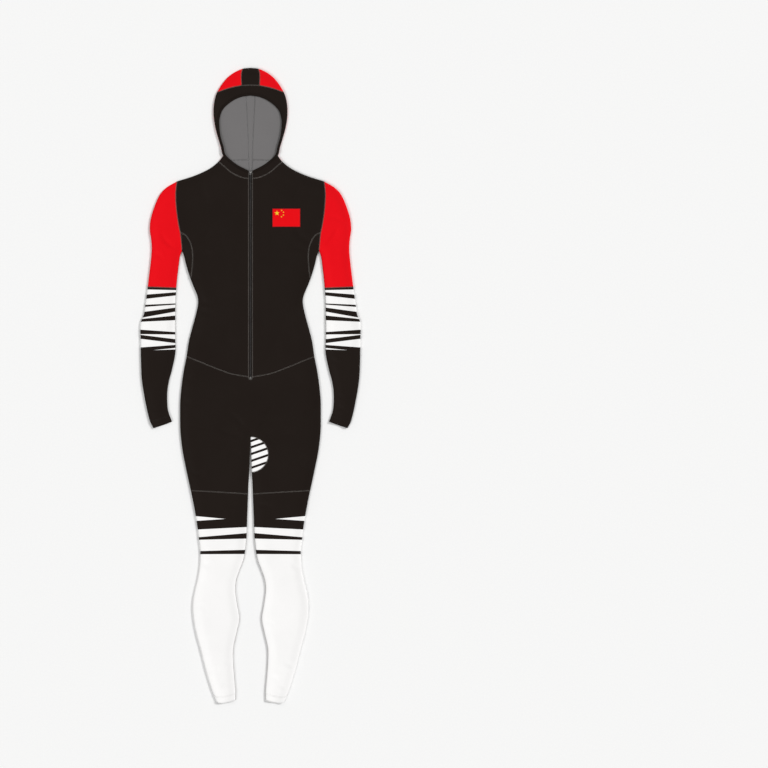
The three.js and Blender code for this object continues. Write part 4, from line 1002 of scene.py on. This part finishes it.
def face_binding():
    """The binding goes from one side of the zip's top round the face opening to the other."""
    half = LINES["faceOpening"]
    line = joined(half * (-1, 1), half[::-1])
    plan = spaced(line, steps_for(line, ALONG_THE_BINDING))
    ahead = units(np.gradient(plan, axis=0))
    inward = np.stack([-ahead[:, 1], ahead[:, 0]], axis=1)
    rings = []
    for reach, up in BINDING:
        cloth, _ = surface(plan + inward * max(reach, BINDING_LEAST_IN), 1)
        rings.append(np.column_stack([plan + inward * reach, cloth[:, 2] + up]))
    points = np.stack(rings, axis=1).reshape(-1, 3)
    piece = thread_object("face_binding", points, tube_faces(len(plan), len(BINDING)))
    shape = bmesh.new()
    shape.from_mesh(piece.data)
    into_mesh(shape, piece.data)
    return piece


def into_mesh(shape, mesh):
    """Puts a bmesh into a mesh, with its faces turned outward."""
    bmesh.ops.recalc_face_normals(shape, faces=shape.faces)
    shape.to_mesh(mesh)
    shape.free()
    return mesh


# Zip

SLIDER_LENGTH = 9.5
SLIDER_TOP_Y = ZIP_TOP - 0.5
SLIDER_FOOT_Y = SLIDER_TOP_Y - SLIDER_LENGTH
SLIDER_LOW = 3.7
SLIDER_THICK = 1.2
SLIDER_BEVEL = 0.28
KEEL_LOW = 1.8
KEEL_IN_PLATE = 0.4
KEEL_BEVEL = 0.12
ARCH_HALF = 2.838
ARCH_HIGH = 2.4
ARCH_IN_PLATE = 0.3
ARCH_SIZE = (0.8, 0.42)
ARCH_POINTS = 15
ARCH_SQUARE = 0.6
ARCH_FULL = 0.55
PIN_Y = SLIDER_TOP_Y - SLIDER_LENGTH / 2
PIN_Z = 5.9
PIN_RADIUS = 0.5
PIN_HALF = 2.3
EAR_ACROSS = 1.72
EAR_SIZE = (0.52, 0.46)
GRIP_FOOT_Y = PIN_Y - 19
GRIP_LOW = PIN_Z - 1.55
GRIP_TOP = PIN_Z - 0.7
GRIP_BEVEL = 0.22
RIDGE_LOW = PIN_Z - 0.8
RIDGE_TOP = PIN_Z - 0.52
RIDGE_LONG = 0.7
RIDGE_BEVEL = 0.12
RIDGE_COUNT = 6
RIDGE_PITCH = 1.5
RIDGE_START = 1.8
STRAP_SIDES = 12
STRAP_SQUARE = 0.5
METAL_ROUND = 0.6
TOOTH_PITCH = 1.6
TEETH_FOOT_Y = ZIP_BOTTOM + 6.6
TAPE_ACROSS = (2.0, 13.0)
TAPE_UP = (ZIP_BOTTOM + 3, ZIP_TOP - 2)
TAPE_LOW = 1.5
TAPE_THICK = 0.6
TAPE_RIB = 0.06

# Right halves of the outlines of the zip's metal. Columns: across, and up from the lower end
SLIDER_HALF_OUTLINE = [(1.95, 0), (2.262, 0.4), (2.808, 3.8), (3.822, 7.3), (3.9, 8.3), (3.354, 9.3),
                       (2.73, 9.5), (0.8, 9.5), (0.4, 9.0)]
KEEL_HALF_OUTLINE = [(1.1, 0.6), (1.1, 8.9)]
GRIP_HALF_OUTLINE = [(1.2, 0), (2.0, 0.5), (2.4, 1.6), (2.4, 11.1), (2.3, 13.3)]
RIDGE_HALF_OUTLINE = [(1.5, 0), (1.5, RIDGE_LONG)]

# An ear of the pull tab. Columns: down from the pin along the zip, and up from the pin
EAR_PATH = [(-0.55, 0), (0.2, 0), (1.5, 0), (3.4, 0), (5.2, -0.35), (6.2, -0.95)]

# One link of the coil, to one side. Columns: along the zip, across and up
LINK_PATH = [(0, 1.68, 1.75), (0, 1.5, 2.75), (0, 0.9, 3.1), (0, -0.1, 3.05), (0, -0.42, 2.6)]
LINK_BACK_PATH = [(0.45, 1.68, 1.75), (0.45, 1.3, 2.15), (0.45, 0.2, 2.1)]
LINK_HALF = 0.9
# The thickness of a link. Columns: radius, sides, and the share of the radius at its ends
LINK_SIZE = (0.36, 6, 0.7)
LINK_BACK_SIZE = (0.3, 5, 0.7)


def zip_teeth():
    """The coil's links, left and right in turn, along the closed zip."""
    top_y = SLIDER_FOOT_Y - SEAM_GAP - LINK_HALF + ROUNDING
    parts = []
    for way in (-1, 1):
        over = (1, way, 1)
        link = bar(np.array(LINK_PATH) * over, *LINK_SIZE)
        back = bar(np.array(LINK_BACK_PATH) * over, *LINK_BACK_SIZE)
        places, sides = together([link, back])
        for y in np.arange(TEETH_FOOT_Y + TOOTH_PITCH / 2 * (way > 0), top_y, TOOTH_PITCH):
            parts.append((np.column_stack([places[:, 1], y + places[:, 0], places[:, 2]]), sides))
    return thread_object("zip_teeth", *together(parts))


def squared_off(value, power):
    """A sine or a cosine that reaches its ends sooner, which makes a circle squarer."""
    return np.sign(value) * np.abs(value) ** power


def plate(half, foot, low, high, bevel):
    """A plate over a plan outline, given by its right half, with rounded edges. foot is its lower end."""
    outline = [(x, foot + y) for x, y in half] + [(-x, foot + y) for x, y in reversed(half)]
    shape = bmesh.new()
    base = shape.faces.new([shape.verts.new((x * METRES, y * METRES, low * METRES)) for x, y in outline])
    top = bmesh.ops.extrude_face_region(shape, geom=[base])["geom"]
    bmesh.ops.translate(shape, verts=[v for v in top if isinstance(v, bmesh.types.BMVert)],
                        vec=(0, 0, (high - low) * METRES))
    bmesh.ops.recalc_face_normals(shape, faces=shape.faces)
    bmesh.ops.bevel(shape, geom=list(shape.edges), offset=bevel * METRES, segments=2, affect="EDGES",
                    profile=METAL_ROUND, clamp_overlap=True)
    return into_mesh(shape, bpy.data.meshes.new("plate"))


def strap(path, half_width, half_thick):
    """A flat bar along a path in the plane of the zip."""
    turns = np.radians((np.arange(STRAP_SIDES) + 0.5) * 360 / STRAP_SIDES)
    across = half_width * squared_off(np.cos(turns), STRAP_SQUARE)[None, :, None] * np.array([1, 0, 0])
    up = half_thick * squared_off(np.sin(turns), STRAP_SQUARE)[None, :, None]
    out = np.cross(units(np.gradient(path, axis=0)), (1, 0, 0))[:, None]
    rings = path[:, None] + across + out * up
    mesh = bpy.data.meshes.new("strap")
    mesh.from_pydata((rings.reshape(-1, 3) * METRES).tolist(), [], tube_faces(len(path), STRAP_SIDES))
    return mesh


def pin():
    """The round pin that the pull tab turns on, across the zip."""
    shape = bmesh.new()
    bmesh.ops.create_cone(shape, cap_ends=True, segments=20, radius1=PIN_RADIUS * METRES,
                          radius2=PIN_RADIUS * METRES, depth=2 * PIN_HALF * METRES)
    for v in shape.verts:
        v.co = (v.co.z, PIN_Y * METRES + v.co.x, PIN_Z * METRES + v.co.y)
    return into_mesh(shape, bpy.data.meshes.new("pin"))


def metal_object(name, parts):
    """Several meshes as one smooth object."""
    shape = bmesh.new()
    for part in parts:
        shape.from_mesh(part)
        bpy.data.meshes.remove(part)
    mesh = into_mesh(shape, bpy.data.meshes.new(name))
    mesh.polygons.foreach_set("use_smooth", [True] * len(mesh.polygons))
    return added(name, mesh)


def slider():
    """A shield-shaped plate with a keel between the teeth and an arch for the pull."""
    plate_top = SLIDER_LOW + SLIDER_THICK
    turns = np.radians(np.linspace(180, 0, ARCH_POINTS))
    path = np.column_stack([
        np.zeros(len(turns)),
        PIN_Y + ARCH_HALF * squared_off(np.cos(turns), ARCH_SQUARE),
        plate_top - ARCH_IN_PLATE + ARCH_HIGH * np.sin(turns) ** ARCH_FULL])
    return metal_object("zip_slider_metal", [
        plate(SLIDER_HALF_OUTLINE, SLIDER_FOOT_Y, SLIDER_LOW, plate_top, SLIDER_BEVEL),
        plate(KEEL_HALF_OUTLINE, SLIDER_FOOT_Y, KEEL_LOW, SLIDER_LOW + KEEL_IN_PLATE, KEEL_BEVEL),
        strap(path, *ARCH_SIZE)])


def pull_tab():
    """The tab: two ears on a pin through the arch, and a grip with raised ridges."""
    paths = [[(way * EAR_ACROSS, PIN_Y - down, PIN_Z + up) for down, up in EAR_PATH] for way in (-1, 1)]
    ears = [strap(np.array(path), *EAR_SIZE) for path in paths]
    grip = plate(GRIP_HALF_OUTLINE, GRIP_FOOT_Y, GRIP_LOW, GRIP_TOP, GRIP_BEVEL)
    ridges = [plate(RIDGE_HALF_OUTLINE, y, RIDGE_LOW, RIDGE_TOP, RIDGE_BEVEL)
              for y in GRIP_FOOT_Y + RIDGE_START + RIDGE_PITCH * np.arange(RIDGE_COUNT)]
    return metal_object("zip_pull_metal", [*ears, pin(), grip, *ridges])


def zip_tape(way):
    """A woven tape with a ribbed face, under the edge of the front."""
    columns, rows = 23, 261
    x, y = np.meshgrid(way * np.linspace(*TAPE_ACROSS, columns), np.linspace(*TAPE_UP, rows))
    ribs = np.where(np.arange(columns) % 2, 0, TAPE_RIB)
    top = np.stack([x, y, TAPE_LOW + TAPE_THICK - ribs + 0 * x], axis=-1)
    base = np.stack([x, y, np.full_like(x, TAPE_LOW)], axis=-1)
    return slab(f"zip_tape_{'left' if way > 0 else 'right'}_cloth", top, base, way < 0)


# Flag

FLAG_TOP = SEAM_GAP + FLAG_THICKNESS
# Sizes of the satin stitch at the flag's edge
SATIN_IN = 0.7
SATIN_SINK = 0.02
SATIN_PITCH = 0.45
SATIN_THREAD = 0.2
SATIN_PATH = [(0.1, -0.75, -0.1), (0.14, -0.4, 0.16), (0.3, 0.4, 0.16), (0.34, 0.75, -0.1)]

# The flag's stars on its grid. Columns: across from the hoist, down from the top, radius
FLAG_GRID = (30, 20)
STARS = [(5, 5, 3), (10, 2, 1), (12, 4, 1), (12, 7, 1), (10, 9, 1)]
STAR_RISE = 0.14
STAR_PEAK = 0.2


def over_front(plan, lift):
    """Points lifted off the front."""
    outer, _ = surface(plan, 1)
    outer[:, 2] += lift
    return outer


def flag_cloth():
    columns, rows = 36, 24
    x, y = np.meshgrid(np.linspace(-0.5, 0.5, columns + 1), np.linspace(-0.5, 0.5, rows + 1))
    plan = np.column_stack([x.ravel(), y.ravel()]) * (FLAG_WIDTH, FLAG_HEIGHT) + FLAG_CENTRE
    top, base = (over_front(plan, lift).reshape(*x.shape, 3) for lift in (FLAG_TOP, SEAM_GAP))
    return slab("flag_cloth", top, base)


def flag_stars():
    """Five raised stars. The small ones each turn a point to the large one."""
    unit = np.array([FLAG_WIDTH, FLAG_HEIGHT]) / FLAG_GRID
    corner = np.array(FLAG_CENTRE) + (-FLAG_WIDTH / 2, FLAG_HEIGHT / 2)
    centres = corner + np.array(STARS)[:, :2] * (1, -1) * unit
    inner_share = math.sin(math.radians(18)) / math.sin(math.radians(54))
    count, middle = 10, 20
    sides = [tuple(reversed(range(count)))]
    for k, n in zip(range(count), [*range(1, count), 0]):
        sides += [(k, n, count + n, count + k), (count + k, count + n, middle)]
    lift = FLAG_TOP + np.repeat([0, STAR_RISE, STAR_PEAK], [count, count, 1])
    parts = []
    for centre, (_, _, radius) in zip(centres, STARS):
        aim = 90 if radius > 1 else math.degrees(math.atan2(*(centres[0] - centre)[::-1]))
        turns = np.radians(aim + 360 / count * np.arange(count))
        reach = radius * min(unit) * np.where(np.arange(count) % 2, inner_share, 1)
        rim = centre + np.stack([np.cos(turns), np.sin(turns)], axis=1) * reach[:, None]
        parts.append((over_front(np.vstack([rim, rim, centre]), lift), sides))
    points, faces = together(parts)
    return mesh_object("flag_stars", points, faces, [False] * len(faces))


def flag_border():
    """Close satin stitches round the flag's edge."""
    reach = (FLAG_WIDTH / 2 - SATIN_IN, FLAG_HEIGHT / 2 - SATIN_IN)
    corners = np.array([(-1, -1), (1, -1), (1, 1), (-1, 1)]) * reach
    points_on_a_side = 40
    runs = []
    for side in zip(corners, np.roll(corners, -1, axis=0)):
        line = spaced(np.array(side) + FLAG_CENTRE, points_on_a_side)
        runs.append((over_front(line, FLAG_TOP - SATIN_SINK), upright(line)))
    return thread_object("flag_border", *stitched(runs, bar(SATIN_PATH, SATIN_THREAD, sides=4), SATIN_PITCH))


def patch_rows():
    """The stitches round the thigh patch's rim, in front and behind."""
    rim = patch_rim()
    return [seam_run(rim, 1, True, True), seam_run(rim[::-1], -1, True, True)]


# Materials

NOISE_RANGE = (0.3, 0.7)
# The sockets of a mix node that take and give colours
MIX_A, MIX_B, MIX_RESULT = 6, 7, 2


class Surface:
    """A node material, with short ways to add nodes. x, y and z are in millimetres."""

    def __init__(self, name):
        self.material = bpy.data.materials.new(name)
        self.material.use_nodes = True
        self.tree = self.material.node_tree
        self.shader = self.tree.nodes["Principled BSDF"]
        self.place = self.node("ShaderNodeTexCoord").outputs["Object"]
        split = self.node("ShaderNodeSeparateXYZ", self.place)
        self.x, self.y, self.z = (self.math("MULTIPLY", split.outputs[k], 1 / METRES) for k in range(3))

    def node(self, kind, *inputs, **settings):
        made = self.tree.nodes.new(kind)
        for name, value in settings.items():
            setattr(made, name, value)
        for k, value in enumerate(inputs):
            self.feed(made.inputs[k], value)
        return made

    def feed(self, socket, value):
        if isinstance(value, bpy.types.NodeSocket):
            self.tree.links.new(value, socket)
        elif value is not None:
            socket.default_value = value

    def fill(self, made, **values):
        """Feeds a node's inputs by their names."""
        for name, value in values.items():
            self.feed(made.inputs[name.replace("_", " ")], value)
        return made

    def set(self, **values):
        self.fill(self.shader, **values)

    def math(self, operation, *inputs):
        return self.node("ShaderNodeMath", *inputs, operation=operation).outputs[0]

    def wave(self, value, period):
        """A sine with a period in millimetres."""
        return self.math("SINE", self.math("MULTIPLY", value, 2 * math.pi / period))

    def noise(self, scale, detail=2.0):
        made = self.node("ShaderNodeTexNoise")
        self.fill(made, Vector=self.place, Scale=scale, Detail=detail, Roughness=0.55)
        return made.outputs["Fac"]

    def spread(self, value, low, high, to_low, to_high):
        return self.node("ShaderNodeMapRange", value, low, high, to_low, to_high).outputs[0]

    def noise_between(self, low, high, scale, detail=2.0):
        """Noise as a value that mostly runs from low to high."""
        return self.spread(self.noise(scale, detail), *NOISE_RANGE, low, high)

    def mix(self, factor, a, b):
        made = self.node("ShaderNodeMix", data_type="RGBA")
        self.feed(made.inputs["Factor"], factor)
        self.feed(made.inputs[MIX_A], a)
        self.feed(made.inputs[MIX_B], b)
        return made.outputs[MIX_RESULT]

    def bump(self, height, strength, distance, under=None):
        made = self.node("ShaderNodeBump")
        self.fill(made, Strength=strength, Distance=distance * METRES, Height=height, Normal=under)
        return made.outputs["Normal"]

    def any_of(self, areas):
        """One where any of several areas is one."""
        total = areas[0]
        for area in areas[1:]:
            total = self.math("MAXIMUM", total, area)
        return total


def colour(red, green, blue):
    """A colour from its 0 to 255 values on a screen, by the sRGB curve."""
    def linear(value):
        value /= 255
        return value / 12.92 if value <= 0.04045 else ((value + 0.055) / 1.055) ** 2.4
    return (linear(red), linear(green), linear(blue), 1.0)


BLACK = colour(27, 19, 14)
RED = colour(231, 1, 17)
WHITE = colour(247, 246, 245)
INSIDE = colour(114, 112, 112)
THREAD_GREY = colour(112, 106, 101)
INSIDE_THREAD = colour(148, 146, 146)
SHADE = (0, 0, 0, 1)
METAL_SHADE = (0.02, 0.02, 0.02, 1)

# Steps of the knit, the tape's weave and the twist of thread, in mm
WALE = 0.62
COURSE = 0.5
TAPE_ROW = 0.9
TAPE_COLUMN = 1.1
TWIST = math.pi / 7
# How far a loop leans to its side, how deep the courses cut into it, and how much the gloss changes
LOOP_LEAN = 1.3
COURSE_DEPTH = 0.3
GLOSS_CHANGE = 0.05


def knit(name, base, roughness=0.68, sheen=0.05, shift=0.05):
    """Fine warp knit: upright wales of small loops, with a slow change of tone and gloss over the cloth."""
    cloth = Surface(name)
    base = base(cloth) if callable(base) else base
    slow = cloth.noise(scale=9)
    tone = cloth.math("ADD", cloth.spread(slow, *NOISE_RANGE, 0.0, shift),
                      cloth.noise_between(0.0, shift, scale=900))
    wale = cloth.math("ABSOLUTE", cloth.wave(cloth.x, 2 * WALE))
    lean = cloth.math("MULTIPLY", wale, LOOP_LEAN)
    course = cloth.math("MULTIPLY_ADD", cloth.y, 2 * math.pi / COURSE, lean)
    cut = cloth.math("MULTIPLY_ADD", cloth.math("SINE", course), COURSE_DEPTH, 1 - COURSE_DEPTH)
    loops = cloth.math("MULTIPLY", wale, cut)
    soft = cloth.bump(cloth.noise(scale=55, detail=3), strength=0.25, distance=0.7)
    cloth.set(Base_Color=cloth.mix(tone, base, SHADE),
              Roughness=cloth.spread(slow, *NOISE_RANGE, roughness - GLOSS_CHANGE, roughness + GLOSS_CHANGE),
              Normal=cloth.bump(loops, strength=0.35, distance=0.12, under=soft),
              Sheen_Weight=sheen, Sheen_Roughness=0.4, Specular_IOR_Level=0.1)
    return cloth.material


# White bands below the knee. Columns: top outer, top inner, bottom outer, bottom inner
KNEE_BANDS = [(-325.6, -338.2, -338.1, -329.0), (-359.8, -353.1, -379.4, -368.0),
              (-385.4, -382.0, -413.6, -410.0), (-421.2, -420.6, -900, -900)]
KNEE_SIDES = (140.0, 6.0)
# White bands below the elbow, a plain set of tapering stripes. The columns are the same
ELBOW_BANDS = [(241, 239, 227, 234), (216, 226, 202, 206), (196.5, 203, 184, 196), (170, 186, 167, 176),
               (160, 164, 140, 134), (129, 128, 127, 116), (117, 106, 96, 102.5), (86, 95, 88, 91)]
ELBOW_SIDES = (272.0, 184.0)


def bands(table, outer_x, inner_x):
    """A base colour of white bands on black. The table's heights hold at the outer and the inner side."""
    def made(cloth):
        share = cloth.spread(cloth.math("ABSOLUTE", cloth.x), inner_x, outer_x, 0.0, 1.0)
        areas = []
        for top_outer, top_inner, low_outer, low_inner in table:
            top = cloth.math("MULTIPLY_ADD", share, top_outer - top_inner, float(top_inner))
            low = cloth.math("MULTIPLY_ADD", share, low_outer - low_inner, float(low_inner))
            below, above = cloth.math("LESS_THAN", cloth.y, top), cloth.math("GREATER_THAN", cloth.y, low)
            areas.append(cloth.math("MULTIPLY", below, above))
        return cloth.mix(cloth.any_of(areas), BLACK, WHITE)
    return made


PATCH_ANGLE = math.radians(19)
PATCH_STRIPES = (-138.6, -154.4, -171.2, -188.4, -205.7)
PATCH_STRIPE_WIDTH = 5.8


def patch_print(cloth):
    """Five black stripes on white, rising away from the inseam."""
    level = cloth.math("MULTIPLY_ADD", cloth.x, -math.tan(PATCH_ANGLE), cloth.y)
    reach = PATCH_STRIPE_WIDTH / 2 / math.cos(PATCH_ANGLE)
    offs = [cloth.math("ABSOLUTE", cloth.math("SUBTRACT", level, middle)) for middle in PATCH_STRIPES]
    return cloth.mix(cloth.any_of([cloth.math("LESS_THAN", off, reach) for off in offs]), WHITE, BLACK)


def thread(name, base):
    """Twisted thread: fine ridges that lean along it."""
    made = Surface(name)
    total = made.math("ADD", made.x, made.math("ADD", made.y, made.z))
    made.set(Base_Color=made.mix(made.noise_between(0.0, 0.22, scale=60), base, SHADE), Roughness=0.6,
             Normal=made.bump(made.wave(total, TWIST), strength=0.3, distance=0.08),
             Sheen_Weight=0.1, Specular_IOR_Level=0.15)
    return made.material


def woven(name, base):
    """Fine woven tape."""
    made = Surface(name)
    weave = made.math("MULTIPLY", made.wave(made.y, TAPE_ROW), made.wave(made.x, TAPE_COLUMN))
    made.set(Base_Color=made.mix(made.spread(weave, -1.0, 1.0, 0.0, 0.3), base, SHADE), Roughness=0.7,
             Normal=made.bump(weave, strength=0.5, distance=0.15), Specular_IOR_Level=0.1)
    return made.material


def nylon(name, base):
    made = Surface(name)
    made.set(Base_Color=made.mix(made.noise_between(0.0, 0.3, scale=300), base, SHADE),
             Roughness=made.noise_between(0.34, 0.46, scale=500))
    return made.material


def metal(name, base):
    """Plated metal with fine brushing and slightly worn gloss."""
    made = Surface(name)
    worn = made.spread(made.noise(scale=180, detail=3), 0.35, 0.65, 0.0, 0.25)
    made.set(Base_Color=made.mix(worn, base, METAL_SHADE), Metallic=1.0,
             Roughness=made.noise_between(0.24, 0.4, scale=420, detail=3),
             Normal=made.bump(made.noise(scale=2600), strength=0.12, distance=0.03))
    return made.material


# Camera, floor and light, in metres. The photo's frame is 1.92 m across, 2.5 mm to a pixel
VIEW_WIDTH = 1.92
VIEW_CENTRE = (0.33375, 0.004375)
CAMERA_HEIGHT = 40
FLOOR_REACH = 60
FLOOR_DROP = 0.0002
SKY_STRENGTH = 0.44


def make_camera():
    data = bpy.data.cameras.new("camera")
    data.lens = data.sensor_width * CAMERA_HEIGHT / VIEW_WIDTH
    data.clip_end = 2 * CAMERA_HEIGHT
    camera = added("camera", data)
    camera.location = (*VIEW_CENTRE, CAMERA_HEIGHT)
    bpy.context.scene.camera = camera


def make_floor():
    corners = np.array([(-1, -1, 0), (1, -1, 0), (1, 1, 0), (-1, 1, 0)]) * FLOOR_REACH / METRES
    floor = mesh_object("floor", corners, [(0, 1, 2, 3)], [False])
    floor.location.z = -FLOOR_DROP
    paper = Surface("floor_paper")
    grain = paper.noise_between(0.0, 1.0, scale=260, detail=3)
    paper.set(Base_Color=paper.mix(grain, colour(240, 240, 240), colour(243, 243, 242)), Roughness=0.85,
              Specular_IOR_Level=0.1)
    floor.data.materials.append(paper.material)


def sun(name, lean, turn, spread, strength):
    """A broad, even light. lean is from upright and turn from +X, in degrees. spread softens its shadows."""
    data = bpy.data.lights.new(name, "SUN")
    data.energy = strength
    data.angle = math.radians(spread)
    added(name, data).rotation_euler = (0, math.radians(lean), math.radians(turn))


def make_light():
    world = bpy.data.worlds.new("studio")
    world.use_nodes = True
    sky = world.node_tree.nodes["Background"]
    sky.inputs["Color"].default_value = (1.0, 1.0, 1.0, 1.0)
    sky.inputs["Strength"].default_value = SKY_STRENGTH
    bpy.context.scene.world = world
    sun("key", lean=50, turn=30, spread=18, strength=1.9)
    sun("fill", lean=46, turn=210, spread=24, strength=1.0)


# The suit

def finish_piece(piece, materials, node=None, body="suit"):
    for material in materials:
        piece.data.materials.append(material)
    if node:
        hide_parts(node)
    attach(piece, body)
    return piece


def sew(name, material, runs, stitch):
    """A piece of sewing: a row of stitches along each run."""
    finish_piece(thread_object(name, *stitched(runs, *stitch)), [material])


make_camera()
make_floor()
make_light()
bpy.context.scene.view_settings.view_transform = "Standard"

black = knit("black_knit", BLACK)
red = knit("red_knit", RED, shift=0.03)
grey = knit("knit_wrong_side", INSIDE, roughness=0.7, shift=0.03)
leg = knit("leg_print", bands(KNEE_BANDS, *KNEE_SIDES), shift=0.03)
sleeve = knit("sleeve_print", bands(ELBOW_BANDS, *ELBOW_SIDES), shift=0.03)
patch = knit("patch_print", patch_print, shift=0.02)
seam_thread = thread("seam_thread", THREAD_GREY)
inside_thread = thread("inside_thread", INSIDE_THREAD)
black_thread = thread("black_thread", colour(40, 33, 30))
white_thread = thread("white_thread", colour(225, 224, 222))
red_thread = thread("red_thread", colour(170, 6, 16))
tape_weave = woven("tape_weave", colour(48, 41, 37))
coil_nylon = nylon("coil_nylon", colour(38, 34, 33))
binding_weave = woven("binding_weave", BLACK)
plated = metal("plated_metal", (0.34, 0.33, 0.32, 1))
dark_plated = metal("dark_plated_metal", (0.07, 0.066, 0.064, 1))
flag_red = knit("flag_red", colour(230, 2, 14), roughness=0.42, sheen=0.03, shift=0.03)
flag_yellow = nylon("flag_yellow", colour(250, 212, 30))

# The cloth pieces, each named after its node. Columns: pieces, slot, material, flat width and length in mm
CLOTHS = [
    (front_panel(), "black_knit", black, (183, 538)),
    ([back_panel()], "black_knit", black, (375, 543)),
    (side_panel(), "black_knit", black, (70, 178)),
    (upper_sleeve(), "red_knit", red, (159, 275)),
    (lower_sleeve(), "sleeve_print", sleeve, (181, 354)),
    ([shorts("shorts_front_cloth", 1)], "black_knit", black, (352, 345)),
    ([shorts("shorts_back_cloth", -1)], "black_knit", black, (352, 345)),
    (lower_leg(), "leg_print", leg, (293, 533)),
    (hood_side(), "red_knit", red, (88, 276)),
    ([hood_centre()], "black_knit", black, (45, 350)),
    ([hood_front()], "black_knit", black, (28, 616)),
    ([thigh_patch()], "patch_print", patch, (93, 89)),
    ([zip_tape(1)], "zip_tape", tape_weave, (11, 516)),
    ([zip_tape(-1)], "zip_tape", tape_weave, (11, 516)),
    ([flag_cloth()], "flag_print", flag_red, (70, 46)),
]
SAME_INSIDE = {"zip_tape": tape_weave, "flag_print": flag_red}
binding = finish_piece(face_binding(), [binding_weave])
stars = finish_piece(flag_stars(), [flag_yellow])
border = finish_piece(flag_border(), [red_thread])
for pieces, slot, material, (width, length) in CLOTHS:
    for piece in pieces:
        finish_piece(piece, [material, SAME_INSIDE.get(slot, grey)], piece.name.removesuffix("_cloth"))

# The sewing
for way, half in ((1, "left"), (-1, "right")):
    sew(f"seam_stitches_{half}", seam_thread, body_seams(way), cover_stitch(*BODY_STITCH))
    sew(f"side_stitches_{half}", seam_thread, side_seams(way), cover_stitch(*SIDE_STITCH))
    for name, mark, line in hem_rows():
        slot, hem_thread = ("sleeve_print", black_thread) if name == "cuff" else ("leg_print", white_thread)
        run = round_tube(line * (way, 1))
        sew(f"{name}_row_{mark}_{half}", hem_thread, [run], plain_stitch(*HEM_STITCH))
sew("zip_stitches", seam_thread, zip_rows(), cover_stitch(*ZIP_STITCH))
sew("patch_stitches", seam_thread, patch_rows(), cover_stitch(*PATCH_STITCH))
sew("hood_inside_stitches", inside_thread, inside_seams(1) + inside_seams(-1),
    cover_stitch(*INSIDE_STITCH))

finish_piece(zip_teeth(), [coil_nylon], "zip_coil")
finish_piece(slider(), [plated], "zip_slider")
finish_piece(pull_tab(), [dark_plated], "zip_pull", body="pull")
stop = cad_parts["zip_stop"]
stop.data.materials.clear()
stop.data.materials.append(plated)
